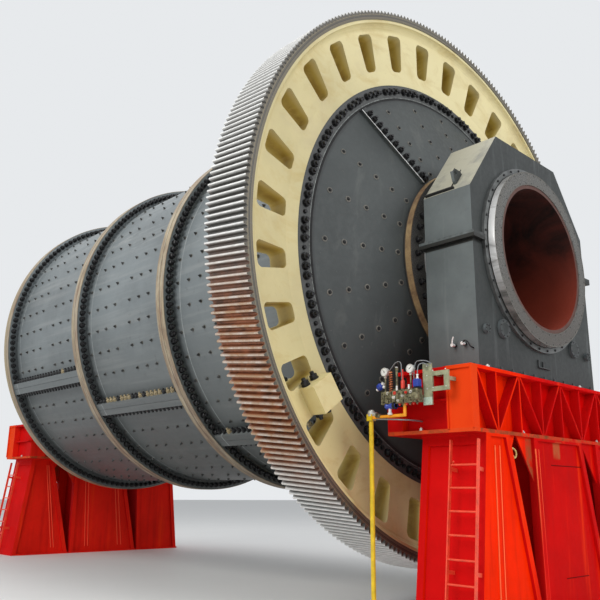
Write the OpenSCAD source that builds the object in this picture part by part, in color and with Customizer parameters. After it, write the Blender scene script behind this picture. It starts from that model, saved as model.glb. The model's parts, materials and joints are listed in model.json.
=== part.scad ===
// Ball mill: a bolted drum with a girth gear, turning in two trunnion bearings on steel stands.
// Millimetres. X runs along the mill's axis towards the discharge end, Z is up from the floor.

/* [Shell] */
// Height of the mill's axis above the floor
axis_z = 5400; // [5200:20:6400]
// Outside diameter of the shell
shell_d = 7000; // [6600:20:7200]
// Thickness of the shell plate
shell_t = 75; // [50:5:110]
// Length of the middle can
middle_can_l = 3300; // [2400:50:4200]
// Length of each end can
end_can_l = 3590; // [3000:10:4400]
// How far the ring flanges stand out from the shell
flange_h = 220; // [180:5:260]
// Thickness of one ring flange
flange_t = 122; // [80:2:150]
// How far the lengthwise joint bars stand out from the shell
bar_h = 185; // [120:5:200]
// Width of one lengthwise joint bar
bar_w = 130; // [90:5:180]
// Gap between the two bars of a lengthwise joint
bar_gap = 6; // [2:1:20]
// Turn of the lengthwise joints on the feed can
feed_joint_a = -112; // [-180:1:180]
// Turn of the lengthwise joints on the middle can
middle_joint_a = -125; // [-180:1:180]
// Turn of the lengthwise joints on the discharge can
discharge_joint_a = -141; // [-180:1:180]

/* [Heads] */
// Thickness of the head's bolting flange
head_flange_t = 110; // [80:5:140]
// Width of the bolting band round the head
bolt_band = 250; // [200:5:300]
// How far the cone of the head rises along the axis
cone_rise = 520; // [400:10:640]
// Thickness of the head at the trunnion seat
head_seat_t = 140; // [100:5:180]
// Width of the trunnion seat on the head
head_seat_w = 500; // [400:10:560]
// Width of the joint bars across the head
head_bar_w = 130; // [80:5:160]
// How far the head's joint bars stand out from the cone
head_bar_h = 60; // [40:5:110]
// Turn of the joint across the heads
head_joint_a = -42; // [-180:1:180]

/* [Trunnions] */
// Diameter of the trunnion's flange
trunnion_flange_d = 3680; // [3600:10:3900]
// Thickness of the trunnion's flange
trunnion_flange_t = 130; // [90:5:160]
// Diameter of the journal
journal_d = 2700; // [2660:10:2760]
// Length from the head to the trunnion's mouth
trunnion_l = 1440; // [1400:10:1700]
// Diameter of the collar at the trunnion's mouth
collar_d = 2940; // [2900:10:3000]
// Width of the collar
collar_w = 110; // [60:5:160]
// Inside diameter of the trunnion's liner
liner_bore_d = 2380; // [2200:10:2400]
// Thickness of the trunnion's liner
liner_t = 60; // [30:5:65]
// How far the liner stops short of the mouth
liner_inset = 12; // [0:1:40]

/* [Girth gear] */
// Module of the teeth
gear_module = 32; // [30:1:33]
// Number of teeth
gear_teeth_n = 310; // [300:1:312]
// Width of the teeth along the axis
gear_w = 880; // [700:10:900]
// Helix angle of the teeth
helix_a = 7.2; // [0:0.1:12]
// Distance from the head flange's face to the teeth's front face
gear_lead = 270; // [210:5:300]
// Depth of the steel rim under the teeth
rim_t = 90; // [60:5:120]
// Set-back of the web behind the teeth's side faces, at the slots' outer ends
web_inset = 160; // [120:5:200]
// Set-back of the casting's rim behind the teeth's side faces
rim_inset = 20; // [10:5:60]
// Width of the casting's rim under the steel ring
rim_w = 50; // [30:5:70]
// Width of the round between the rim and the web
round_w = 120; // [60:10:130]
// Number of slots in the web
slot_n = 32; // [24:1:36]
// Turn of the first slot
slot_a = 4.3; // [-6:0.1:6]
// Width of the hub inside the slots
hub_w = 266; // [200:2:320]
// Width of the casting outside the slots
slot_edge = 200; // [190:5:300]
// Width of a slot at its outer end
slot_w2 = 400; // [300:10:440]
// Width of a slot at its inner end
slot_w1 = 300; // [220:10:320]
// Corner radius of a slot
slot_corner = 90; // [40:5:105]
// Turn of the joint between the gear's halves
gear_joint_a = -125.2; // [-180:0.1:180]
// Width of the pair of joint lugs
lug_w = 430; // [300:10:450]
// Length of the joint lugs along the radius
lug_l = 420; // [300:10:500]
// How far the joint lugs stand out from the hub's side faces
lug_h = 350; // [280:5:370]

/* [Bearings] */
// Width of the bearing housing along the axis
bearing_w = 870; // [700:10:900]
// Half width of the housing across the axis
housing_half_w = 1810; // [1760:10:1950]
// Height of the axis above the housing's foot
housing_drop = 2070; // [1950:10:2200]
// Height of the cap's shoulder above the axis
shoulder_h = 810; // [700:10:950]
// Height of the cap's top above the axis
cap_h = 1920; // [1800:10:2000]
// Half width of the cap's top
cap_top_half_w = 970; // [850:10:1100]
// Thickness of the bush
bush_t = 100; // [60:5:120]
// Running clearance of the journal in the bush
journal_gap = 0.05; // [0.02:0.01:0.1]
// Thickness of one joint flange of the housing
split_t = 50; // [30:5:80]
// How far the joint flanges stand out from the housing
split_out = 70; // [30:5:80]
// How far the seal ring stands out from the housing
seal_t = 50; // [30:5:60]
// Radial width of the seal ring
seal_w = 200; // [160:5:215]
// Running gap round the seal ring
seal_gap = 10; // [6:1:20]
// Radius of the large inspection cover
cover_r = 145; // [120:5:170]
// Radius of the small inspection cover
small_cover_r = 70; // [50:5:90]
// Thickness of the inspection covers
cover_t = 45; // [25:5:60]
// Distance of the large covers from the mill's centre line
cover_y = 1120; // [1000:10:1300]
// Height of the large covers above the housing's foot
cover_h = 725; // [400:5:760]
// Distance of the small covers from the mill's centre line
small_cover_y = 1600; // [1500:10:1660]
// Height of the cover plates on the cap's slopes
hatch_h = 520; // [300:10:640]
// Thickness of the cover plates on the cap's slopes
hatch_t = 22; // [10:2:40]
// Thickness of a lifting lug
lug_plate_t = 50; // [30:5:80]
// Height of a lifting lug above the cap's slope
lug_plate_h = 190; // [140:10:260]
// Distance of a lifting lug up the slope from the shoulder
lug_plate_up = 160; // [80:10:300]

/* [Base girders] */
// Height of the girder
girder_h = 900; // [800:10:1000]
// Length of the girder across the mill
girder_l = 4940; // [4700:20:5200]
// Width of the girder's bottom plate along the mill
girder_w = 1460; // [1400:10:1500]
// Distance from the housing's outer face to the girder's outer edge
girder_lead = 300; // [240:10:360]
// Thickness of the girder's flange plates
girder_plate_t = 50; // [30:5:70]
// Depth of the open bays on the girder's outer side
bay_depth = 170; // [100:10:220]
// Number of bays on the girder's outer side
bay_n = 8; // [5:1:10]
// Thickness of the ribs and diagonals
rib_t = 30; // [16:2:50]
// Set-back of the ribs behind the girder's flange edges
rib_inset = 20; // [0:5:60]
// Width of the end columns along the mill
column_w = 420; // [300:10:500]
// How far the column's cap and edge strips stand out
column_lip = 25; // [10:5:40]
// Set-back of the girder's end plates
end_inset = 120; // [60:10:180]
// Height of the toe at the girder's inner corner
toe_h = 350; // [250:10:450]
// Width of the toe across the mill, behind the end plate
toe_w = 300; // [150:10:400]

/* [Stands] */
// Depth of the stands along the mill
stand_d = 1040; // [900:10:1100]
// Outer edge of the end stands at the top
stand_top_y2 = 2210; // [2100:10:2350]
// Inner edge of the near stand at the top
stand_top_y1 = 1610; // [1500:10:1700]
// Outer edge of the end stands at the floor
stand_foot_y2 = 2500; // [2400:10:2700]
// Inner edge of the near stand at the floor
stand_foot_y1 = 1000; // [990:5:1300]
// Near edge of the middle stand at the top
middle_top_y1 = 960; // [900:5:970]
// Near edge of the middle stand at the floor
middle_foot_y1 = 930; // [850:5:940]
// Far edge of the middle stand at the top
middle_top_y2 = 530; // [450:10:560]
// Far edge of the middle stand at the floor
middle_foot_y2 = 1080; // [1000:5:1085]
// Inner edge of the far stand at the top
far_top_y1 = 1000; // [980:5:1100]
// Inner edge of the far stand at the floor
far_foot_y1 = 1150; // [1145:5:1300]
// Thickness of the stands' front and rear plates
face_t = 120; // [90:5:200]
// How far the stands' cores are set back from the gaps between them
core_inset = 230; // [120:10:260]
// Width of the gussets at the top of the gaps
gusset_w = 410; // [300:10:420]
// Height of the gussets at the top of the gaps
gusset_h = 620; // [400:10:800]
// Width of the small gussets on the near stand
small_gusset_w = 190; // [100:10:200]
// Height of the small gussets on the near stand
small_gusset_h = 220; // [150:10:300]
// Thickness of the gussets
gusset_t = 24; // [12:2:40]
// Width of the strips along the stands' edges
strip_w = 110; // [70:5:160]
// Depth of the panels between the strips
panel_depth = 40; // [20:5:80]
// Thickness of the stands' foot and head plates
stand_plate_t = 40; // [20:5:60]
// How far the foot plates stand out
foot_out = 20; // [10:5:20]

/* [Ladders] */
// Width over the ladder's rails
ladder_w = 450; // [380:10:500]
// Width of a rail
rail_w = 50; // [30:5:70]
// Thickness of a rail
rail_t = 18; // [10:2:30]
// Height of the lowest rung above the ladder's foot
first_rung = 215; // [150:5:300]
// Spacing of the rungs
rung_step = 300; // [250:10:350]
// Diameter of a rung
rung_d = 28; // [20:2:36]
// Distance from the stand to the rails
ladder_off = 120; // [80:10:180]
// Distance from the girder's outer edge to the ladder
ladder_inset = 30; // [20:5:100]

/* [Lubrication] */
// Width of the lubrication board's mast
mast_w = 140; // [100:10:200]
// Height of the lubrication board's mast
mast_h = 570; // [450:10:700]
// Width of the board's open frame
frame_w = 280; // [200:10:340]
// Height of the board's open frame
frame_h = 270; // [200:10:320]
// Width of the open frame's bars
frame_bar = 60; // [30:5:80]
// Thickness of the lubrication board
board_t = 30; // [20:5:50]
// How far the board's mast lies ahead of the girder's column
board_lead = 260; // [200:10:320]
// How far the mast stands above the girder
board_up = 40; // [0:10:150]
// Distance from the girder's end to the pipework
pipe_off = 260; // [220:10:320]
// Length of the manifold
manifold_l = 640; // [560:10:700]
// Depth of the manifold
manifold_w = 120; // [90:5:150]
// Height of the manifold
manifold_h = 180; // [120:5:200]
// Distance of the feed pipe below the manifold
feed_drop = 160; // [120:5:220]
// Diameter of the feed pipe
feed_d = 46; // [30:2:60]
// Diameter of the gauge pipes
stub_d = 24; // [16:2:36]
// Distance between the gauge pipes
gauge_gap = 455; // [380:5:480]
// Diameter of a dial gauge
dial_d = 118; // [80:5:150]
// Thickness of a dial gauge
dial_t = 50; // [30:5:70]
// Diameter of the flow tubes
tube_d = 34; // [20:2:44]
// Height of the flow tubes
tube_h = 330; // [200:10:380]
// Diameter of the riser pipe
riser_d = 66; // [50:2:90]

/* [Hidden] */
$fn = 120;
paint_grey = [0.27, 0.31, 0.34];
paint_red = [0.80, 0.14, 0.08];
cast_cream = [0.86, 0.80, 0.58];
bare_steel = [0.62, 0.60, 0.57];
pipe_yellow = [0.90, 0.68, 0.10];
board_grey = [0.50, 0.54, 0.46];
valve_blue = [0.16, 0.28, 0.70];
dial_white = [0.92, 0.93, 0.92];
liner_red = [0.40, 0.13, 0.10];
seat_gap = 0.3;
over = 10;

shell_r = shell_d / 2;
shell_ri = shell_r - shell_t;
flange_r = shell_r + flange_h;
head_x0 = middle_can_l / 2 + end_can_l;
head_x1 = head_x0 + head_flange_t;
cone_r1 = flange_r - bolt_band;
head_x2 = head_x1 + cone_rise;
trunnion_flange_r = trunnion_flange_d / 2;
journal_r = journal_d / 2;
collar_r = collar_d / 2;
liner_ri = liner_bore_d / 2;
liner_ro = liner_ri + liner_t;
cone_r2 = liner_ro + head_seat_w;
cone_slope = cone_rise / (cone_r1 - cone_r2);
mouth_x = head_x2 + trunnion_l;
neck_l = 120;
head_lip = 45;

gear_x2 = head_x1 + gear_lead;
gear_x1 = gear_x2 - gear_w;
pitch_r = gear_module * gear_teeth_n / 2;
tip_r = pitch_r + gear_module;
root_r = pitch_r - 1.25 * gear_module;
rim_ri = root_r - rim_t;
rim_x2 = gear_x2 - rim_inset;
rim_x1 = gear_x1 + rim_inset;
web_x2 = gear_x2 - web_inset;
web_x1 = gear_x1 + web_inset;
rim_in = rim_ri - rim_w;
slot_r1 = flange_r + hub_w;
slot_r2 = rim_ri - slot_edge;
hub_x2 = head_x1;
hub_x1 = gear_x1 + gear_lead;
dish_r = slot_r1 - 20;
lug_r1 = slot_r1 - 8;
helix_turn = gear_w * tan(helix_a) / pitch_r * 180 / PI;

housing_x2 = mouth_x - collar_w - seal_gap - seal_t;
housing_x1 = housing_x2 - bearing_w;
housing_bore_r = journal_r + bush_t;
seal_ri = journal_r + seal_gap;
seal_ro = seal_ri + seal_w;
bush_inset = 20;

girder_x2 = housing_x2 + girder_lead;
girder_x1 = girder_x2 - girder_w;
girder_top = axis_z - housing_drop;
girder_bottom = girder_top - girder_h;
girder_y = girder_l / 2;
web_face_x = girder_x2 - bay_depth;
rear_web_x = housing_x1 - 20;
top_plate_x1 = housing_x1 - split_out - 40;
bay_w = girder_l / bay_n;

stand_x2 = girder_x2;
stand_x1 = stand_x2 - stand_d;
stand_z1 = stand_plate_t;
stand_z2 = girder_bottom - stand_plate_t;
lean_a = atan((stand_foot_y2 - stand_top_y2) / (stand_z2 - stand_z1));
face_l = (stand_z2 - stand_z1) / cos(lean_a);

pipe_y = -girder_y - pipe_off;
board_y = pipe_y + manifold_w / 2 + 25;
mast_x = girder_x2 - column_w - board_lead;
mast_z = girder_top + board_up - mast_h;
manifold_x = girder_x1 + 150;
manifold_z = girder_bottom + girder_plate_t + toe_h + 10;
manifold_top = manifold_z + manifold_h;
feed_z = manifold_z - feed_drop;
riser_x = girder_x1 - 60 - riser_d / 2;
elbow_x = manifold_x + manifold_l * 0.58;
valve_l = manifold_z - feed_z - feed_d / 2;
joint_w = riser_d * 1.4;
tube_foot = 36;
valve_w = 52;
wheel_d = 84;
boss_w = 30;
stub_x1 = manifold_x + 35;
stub_x2 = stub_x1 + gauge_gap;
gauge_z = girder_top - 20;

// Turns a shape that stands on Z so that its axis lies along X
module along_x() rotate([0, 90, 0]) children();

// Turns a shape from the top of the drum to an angle, from +Z towards +Y
module at_angle(a) rotate([-a, 0, 0]) children();

// Puts a drum piece on the mill's axis
module on_axis() translate([0, 0, axis_z]) children();

// Revolves a profile of [radius, x] points about the mill's axis
module turned(profile) along_x() rotate_extrude() polygon(profile);

// Mirrors the discharge end's pieces to the feed end
module at_feed() mirror([1, 0, 0]) children();

// Extrudes an outline drawn in Y and Z from x1 to x2
module slab(x1, x2) translate([x1, 0, 0]) rotate([90, 0, 90]) linear_extrude(height = x2 - x1) children();

// One rolled can of the shell, with its ring flanges and two lengthwise joints
module shell_can(x1, x2, joint_a) {
    on_axis() difference() {
        union() {
            turned([
                [shell_ri, x1], [flange_r, x1], [flange_r, x1 + flange_t], [shell_r, x1 + flange_t],
                [shell_r, x2 - flange_t], [flange_r, x2 - flange_t], [flange_r, x2], [shell_ri, x2]
            ]);
            for (a = [joint_a, joint_a + 180])
                for (side = [-1, 1])
                    at_angle(a) joint_bar(x1 + flange_t, x2 - flange_t, side);
        }
        translate([x1 - over, 0, 0]) along_x() cylinder(r = shell_ri, h = x2 - x1 + 2 * over);
    }
}

// One of the two bars that bolt a can's halves together, with gussets against the shell
module joint_bar(x1, x2, side) {
    base_z = shell_r - flange_h / 2;
    mid_y = side * (bar_gap + bar_w) / 2;
    translate([x1 - 1, mid_y - bar_w / 2, base_z])
        cube([x2 - x1 + 2, bar_w, flange_h / 2 + bar_h]);
}

// Conical end wall of the drum, made in two halves joined by bars
module mill_head() {
    on_axis() {
        turned([
            [shell_ri - head_lip, head_x0], [flange_r, head_x0], [flange_r, head_x1],
            [cone_r1, head_x1], [cone_r2, head_x2], [liner_ro, head_x2],
            [liner_ro, head_x2 - head_seat_t], [cone_r2, head_x2 - head_seat_t]
        ]);
        for (a = [head_joint_a, head_joint_a + 180])
            at_angle(a) head_bar();
    }
}

// Bar of one half that laps over the other where the head's halves meet
module head_bar() {
    r1 = trunnion_flange_r + 40;
    r2 = cone_r1 - 20;
    x_at_r1 = head_x1 + (cone_r1 - r1) * cone_slope;
    x_at_r2 = head_x1 + (cone_r1 - r2) * cone_slope;
    intersection() {
        turned([
            [r1, x_at_r1 - head_bar_h], [r2, x_at_r2 - head_bar_h],
            [r2, x_at_r2 + head_bar_h], [r1, x_at_r1 + head_bar_h]
        ]);
        translate([head_x0, 0, 0])
            cube([cone_rise + head_flange_t + 2 * head_bar_h, head_bar_w, shell_r]);
    }
}

// Hollow journal with a bolted flange at the head and a collar at its mouth
module trunnion() {
    neck_x = head_x2 + trunnion_flange_t;
    on_axis() turned([
        [liner_ro, head_x2], [trunnion_flange_r, head_x2], [trunnion_flange_r, neck_x],
        [collar_r, neck_x], [journal_r, neck_x + neck_l], [journal_r, mouth_x - collar_w],
        [collar_r, mouth_x - collar_w], [collar_r, mouth_x], [liner_ro, mouth_x]
    ]);
}

// Wear sleeve inside the trunnion
module liner() {
    x1 = head_x2 - head_seat_t;
    x2 = mouth_x - liner_inset;
    on_axis() translate([x1, 0, 0]) along_x() difference() {
        cylinder(r = liner_ro - seat_gap, h = x2 - x1);
        translate([0, 0, -over]) cylinder(r = liner_ri, h = x2 - x1 + 2 * over);
    }
}

// Outline of the toothed ring, four points to a tooth
module tooth_ring() {
    pitch_a = 360 / gear_teeth_n;
    tip_a = 0.36 * gear_module / tip_r * 180 / PI;
    root_a = 1.13 * gear_module / root_r * 180 / PI;
    polygon([
        for (i = [0 : gear_teeth_n - 1])
            for (p = [[root_r, -root_a], [tip_r, -tip_a], [tip_r, tip_a], [root_r, root_a]])
                [p[0] * cos(i * pitch_a + p[1]), p[0] * sin(i * pitch_a + p[1])]
    ]);
}

// Outline of one web slot, narrower towards the axis, with round corners
module slot_outline() {
    c = slot_corner;
    w1 = slot_w1 / 2;
    w2 = slot_w2 / 2;
    polygon([
        [slot_r1 + c, -w1], [slot_r2 - c, -w2], [slot_r2, c - w2], [slot_r2, w2 - c],
        [slot_r2 - c, w2], [slot_r1 + c, w1], [slot_r1, w1 - c], [slot_r1, c - w1]
    ]);
    for (side = [-1, 1]) {
        translate([slot_r1 + c, side * (w1 - c)]) circle(r = c, $fn = 32);
        translate([slot_r2 - c, side * (w2 - c)]) circle(r = c, $fn = 32);
    }
}

// Slots through the web
module web_slots() {
    for (i = [0 : slot_n - 1])
        translate([web_x1 - over, 0, 0]) at_angle(slot_a + i * 360 / slot_n)
            rotate([0, -90, 0]) mirror([0, 0, 1])
                linear_extrude(height = web_x2 - web_x1 + 2 * over) slot_outline();
}

// Hollow round from the rim at x1 down to the web at x2, as profile points
function rim_round(x1, x2) = [
    for (t = [0 : 18 : 90]) [rim_in - round_w + round_w * cos(t), x1 + (x2 - x1) * sin(t)]
];

// One half of the gear's casting: dished web with slots, and the lugs where the halves are bolted
module gear_half(side) {
    $fn = 240;
    rear_round = rim_round(rim_x1, web_x1);
    on_axis() at_angle(gear_joint_a) intersection() {
        union() {
            at_angle(-gear_joint_a) difference() {
                turned(concat(
                    [[flange_r + seat_gap, hub_x1], [dish_r, hub_x1]],
                    [for (i = [1 : len(rear_round)]) rear_round[len(rear_round) - i]],
                    [[rim_ri - seat_gap, rim_x1], [rim_ri - seat_gap, rim_x2]],
                    rim_round(rim_x2, web_x2),
                    [[dish_r, hub_x2], [flange_r + seat_gap, hub_x2]]
                ));
                web_slots();
            }
            for (end = [-1, 1])
                for (x = [hub_x1 - lug_h, hub_x2 - 1])
                    scale([1, 1, end]) translate([x, -lug_w / 2, lug_r1]) cube([lug_h + 1, lug_w, lug_l]);
        }
        translate([gear_x1 - lug_h, side > 0 ? 0 : -tip_r, -tip_r])
            cube([gear_w + 2 * lug_h, tip_r, 2 * tip_r]);
    }
}

// Outline of the housing below or above the axis
module housing_outline() {
    polygon([
        [-housing_half_w, girder_top], [housing_half_w, girder_top], [housing_half_w, axis_z],
        [-housing_half_w, axis_z]
    ]);
}

module cap_outline() {
    polygon([
        [-housing_half_w, axis_z], [housing_half_w, axis_z], [housing_half_w, axis_z + shoulder_h],
        [cap_top_half_w, axis_z + cap_h], [-cap_top_half_w, axis_z + cap_h],
        [-housing_half_w, axis_z + shoulder_h]
    ]);
}

// Joint flange round the housing, above or below the split
module split_flange(z) {
    translate([housing_x1 - split_out, -housing_half_w - split_out, z])
        cube([bearing_w + 2 * split_out, 2 * (housing_half_w + split_out), split_t]);
}

// Round hole for the journal, and the room for the seal rings on both faces
module housing_bore() {
    on_axis() {
        translate([housing_x1 - over, 0, 0]) along_x() cylinder(r = housing_bore_r, h = bearing_w + 2 * over);
        for (x = [housing_x1 - split_out - over, housing_x2])
            translate([x, 0, 0]) along_x() cylinder(r = seal_ro + seal_gap, h = split_out + over);
    }
}

// Lower half of the bearing housing, bolted down on the girder
module bearing_housing() {
    difference() {
        union() {
            slab(housing_x1, housing_x2) housing_outline();
            split_flange(axis_z - split_t);
            translate([housing_x1 - split_out, -housing_half_w - split_out, girder_top])
                cube([bearing_w + 2 * split_out, 2 * (housing_half_w + split_out), split_t]);
        }
        housing_bore();
    }
}

// Upper half of the bearing housing, with lifting lugs on its slopes
module bearing_cap() {
    slope_a = atan((cap_h - shoulder_h) / (housing_half_w - cap_top_half_w));
    difference() {
        union() {
            slab(housing_x1, housing_x2) cap_outline();
            split_flange(axis_z);
            for (side = [-1, 1])
                scale([1, side, 1])
                    translate([housing_x1 + bearing_w * 0.6, housing_half_w, axis_z + shoulder_h])
                        rotate([-slope_a, 0, 0]) {
                            lifting_lug();
                            cap_hatch();
                        }
        }
        housing_bore();
    }
}

// Flat cover plate low on a slope of the cap
module cap_hatch() {
    translate([-bearing_w * 0.6 + 40, -hatch_h - 60, -over])
        cube([bearing_w * 0.6 - 60, hatch_h, over + hatch_t]);
}

// Plate with an eye, standing on a slope of the cap: y runs down the slope, z away from it
module lifting_lug() {
    eye_r = lug_plate_h * 0.2;
    foot_w = lug_plate_h * 1.4;
    translate([0, -lug_plate_up - foot_w, 0]) difference() {
        rotate([90, 0, 90]) linear_extrude(height = lug_plate_t)
            polygon([
                [0, -over], [foot_w, -over], [foot_w, lug_plate_h * 0.3],
                [foot_w * 0.65, lug_plate_h], [foot_w * 0.35, lug_plate_h], [0, lug_plate_h * 0.3]
            ]);
        translate([-over, foot_w / 2, lug_plate_h * 0.65]) rotate([0, 90, 0])
            cylinder(r = eye_r, h = lug_plate_t + 2 * over, $fn = 32);
    }
}

// Bearing shell under the journal
module bush() {
    on_axis() translate([housing_x1 + bush_inset, 0, 0]) difference() {
        along_x() cylinder(r = housing_bore_r - seat_gap, h = bearing_w - 2 * bush_inset);
        translate([-over, 0, 0]) along_x() cylinder(r = journal_r + journal_gap, h = bearing_w + 2 * over);
        translate([-over, -housing_bore_r, 0])
            cube([bearing_w + 2 * over, 2 * housing_bore_r, housing_bore_r]);
    }
}

// Seal rings bolted to both faces of the housing
module seal_rings() {
    step_r = collar_r + seal_gap;
    on_axis() {
        turned([
            [seal_ri, housing_x2], [seal_ro, housing_x2], [seal_ro, housing_x2 + seal_t],
            [step_r, housing_x2 + seal_t], [step_r, housing_x2 + seal_t / 2],
            [seal_ri, housing_x2 + seal_t / 2]
        ]);
        turned([
            [seal_ri, housing_x1 - seal_t], [seal_ro, housing_x1 - seal_t],
            [seal_ro, housing_x1], [seal_ri, housing_x1]
        ]);
    }
}

// Round inspection covers low on the housing's outer face
module covers() {
    cover_z = girder_top + cover_h;
    for (side = [-1, 1]) {
        translate([housing_x2, side * cover_y, cover_z])
            along_x() cylinder(r = cover_r, h = cover_t, $fn = 64);
        translate([housing_x2, side * small_cover_y, cover_z - small_cover_r])
            along_x() cylinder(r = small_cover_r, h = cover_t, $fn = 48);
    }
}

// Plate girder that carries a bearing, with ribs and diagonals along its outer side
module girder() {
    inner_z1 = girder_bottom + girder_plate_t;
    inner_z2 = girder_top - girder_plate_t;
    inner_h = inner_z2 - inner_z1;
    difference() {
        union() {
            translate([girder_x1, -girder_y, girder_bottom]) cube([girder_w, girder_l, girder_plate_t]);
            translate([top_plate_x1, -girder_y, inner_z2])
                cube([girder_x2 - top_plate_x1, girder_l, girder_plate_t]);
            translate([rear_web_x, -girder_y + end_inset, inner_z1])
                cube([web_face_x - rear_web_x, girder_l - 2 * end_inset, inner_h]);
            for (side = [-1, 1])
                scale([1, side, 1]) girder_end(inner_z1, inner_h);
        }
        translate([rear_web_x + rib_t, -girder_y + end_inset + rib_t, inner_z1])
            cube([web_face_x - rear_web_x - 2 * rib_t, girder_l - 2 * end_inset - 2 * rib_t, inner_h]);
    }
    for (i = [1 : bay_n - 1])
        translate([web_face_x, -girder_y + i * bay_w - rib_t / 2, inner_z1])
            cube([bay_depth - rib_inset, rib_t, inner_h]);
    for (i = [0 : bay_n - 1])
        girder_diagonal(i, inner_z1, inner_h);
}

// Sloping stiffener in one bay, leaning the other way in every second bay
module girder_diagonal(i, z, h) {
    left = -girder_y + max(i * bay_w, end_inset) + rib_t / 2;
    right = -girder_y + min((i + 1) * bay_w, girder_l - end_inset) - rib_t / 2;
    low = i % 2 == 0 ? right : left;
    high = i % 2 == 0 ? left : right;
    step = i % 2 == 0 ? 1.2 * rib_t : -1.2 * rib_t;
    slab(web_face_x, web_face_x + bay_depth - rib_inset)
        polygon([[low - step, z], [low, z], [high + step, z + h], [high, z + h]]);
}

// End column, middle shelf and inner toe of the girder
module girder_end(z, h) {
    translate([girder_x2 - column_w, girder_y - end_inset, z]) cube([column_w, end_inset, h]);
    translate([girder_x2 - column_w - column_lip, girder_y - end_inset, z + h])
        cube([column_w + column_lip, end_inset + column_lip, girder_plate_t]);
    translate([girder_x2 - column_w, girder_y, z]) cube([rib_t, column_lip, h]);
    translate([girder_x2 - rib_t, girder_y, z]) cube([rib_t, column_lip, h]);
    translate([rear_web_x, girder_y - end_inset - 1, z + h / 2 - rib_t / 2])
        cube([girder_x2 - column_w - rear_web_x, end_inset - 20, rib_t]);
    translate([girder_x1, girder_y - end_inset - toe_w, z])
        cube([rear_web_x - girder_x1, end_inset + toe_w, toe_h]);
}

// Outline of a stand in Y and Z, from its foot plate to its head plate
module stand_outline(foot_y1, foot_y2, top_y1, top_y2) {
    polygon([[foot_y1, stand_z1], [foot_y2, stand_z1], [top_y2, stand_z2], [top_y1, stand_z2]]);
}

// Welded stand: thick front and rear plates with sunk panels, joined by a core set back at the gaps
module stand(foot_y1, foot_y2, top_y1, top_y2, in1, in2) {
    difference() {
        for (x = [stand_x1, stand_x2 - face_t])
            slab(x, x + face_t) stand_outline(foot_y1, foot_y2, top_y1, top_y2);
        for (x = [stand_x1 - over, stand_x2 - panel_depth])
            slab(x, x + panel_depth + over)
                stand_outline(foot_y1 + strip_w, foot_y2 - strip_w, top_y1 + strip_w, top_y2 - strip_w);
    }
    slab(stand_x1 + face_t - 1, stand_x2 - face_t + 1)
        stand_outline(foot_y1 + in1, foot_y2 - in2, top_y1 + in1, top_y2 - in2);
    translate([stand_x1 - foot_out, foot_y1 - foot_out, 0])
        cube([stand_d + 2 * foot_out, foot_y2 - foot_y1 + 2 * foot_out, stand_plate_t]);
    translate([stand_x1 - foot_out, top_y1, stand_z2])
        cube([stand_d + foot_out, top_y2 - top_y1, stand_plate_t]);
}

// Places things on the leaning outer face of an end stand: y points into the stand, z up its face
module on_stand_face() {
    translate([0, -stand_foot_y2, stand_z1]) rotate([-lean_a, 0, 0]) children();
}

// Sunk panel in the outer face of an end stand
module outer_panel() {
    on_stand_face() translate([stand_x1 + strip_w, -over, strip_w])
        cube([stand_d - 2 * strip_w, panel_depth + over, face_l - 2 * strip_w]);
}

module near_stand() {
    difference() {
        stand(-stand_foot_y2, -stand_foot_y1, -stand_top_y2, -stand_top_y1, 0, core_inset);
        outer_panel();
    }
}

module middle_stand() {
    stand(-middle_foot_y1, middle_foot_y2, -middle_top_y1, middle_top_y2, core_inset, core_inset);
}

module far_stand() {
    difference() {
        stand(far_foot_y1, stand_foot_y2, far_top_y1, stand_top_y2, core_inset, 0);
        mirror([0, 1, 0]) outer_panel();
    }
}

// Gussets under the girder at the gaps between the stands, on the front and rear plates
module braces() {
    small_low = stand_z2 - small_gusset_h;
    edge_y = -stand_top_y1 + (stand_top_y1 - stand_foot_y1) * small_gusset_h / (stand_z2 - stand_z1);
    for (x = [stand_x1 + face_t / 2, stand_x2 - face_t / 2])
        slab(x - gusset_t / 2, x + gusset_t / 2) {
            polygon([
                [-stand_top_y1, girder_bottom], [-stand_top_y1 + small_gusset_w, girder_bottom],
                [edge_y, small_low], [-stand_top_y1, stand_z2]
            ]);
            for (y = [-middle_top_y1, far_top_y1])
                corner_gusset(y, y > 0 ? far_foot_y1 - far_top_y1 : middle_top_y1 - middle_foot_y1);
        }
}

// Triangular gusset against the near edge of a stand, whose edge moves by lean down to the floor
module corner_gusset(y, lean) {
    low_y = y + lean * (gusset_h - stand_plate_t) / (stand_z2 - stand_z1);
    polygon([
        [y, girder_bottom], [y - gusset_w, girder_bottom],
        [low_y, girder_bottom - gusset_h], [y, stand_z2]
    ]);
}

// Ladder up the near stand, held off its face by four brackets
module ladder() {
    x1 = girder_x2 - ladder_inset - ladder_w;
    rail_l = face_l - 20;
    on_stand_face() translate([x1, -ladder_off, -stand_z1 - 5]) {
        for (x = [0, ladder_w - rail_t])
            translate([x, -rail_w / 2, 0]) cube([rail_t, rail_w, rail_l]);
        for (z = [first_rung : rung_step : rail_l - 100])
            translate([rail_t - 1, 0, z])
                along_x() cylinder(d = rung_d, h = ladder_w - 2 * rail_t + 2, $fn = 24);
    }
    on_stand_face() for (z = [face_l * 0.25, face_l * 0.8]) {
        translate([x1, -ladder_off, z]) cube([rail_t, ladder_off + panel_depth, rail_w]);
        translate([x1 + ladder_w - rail_t, -ladder_off, z]) cube([rail_t, ladder_off, rail_w]);
    }
}

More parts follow.
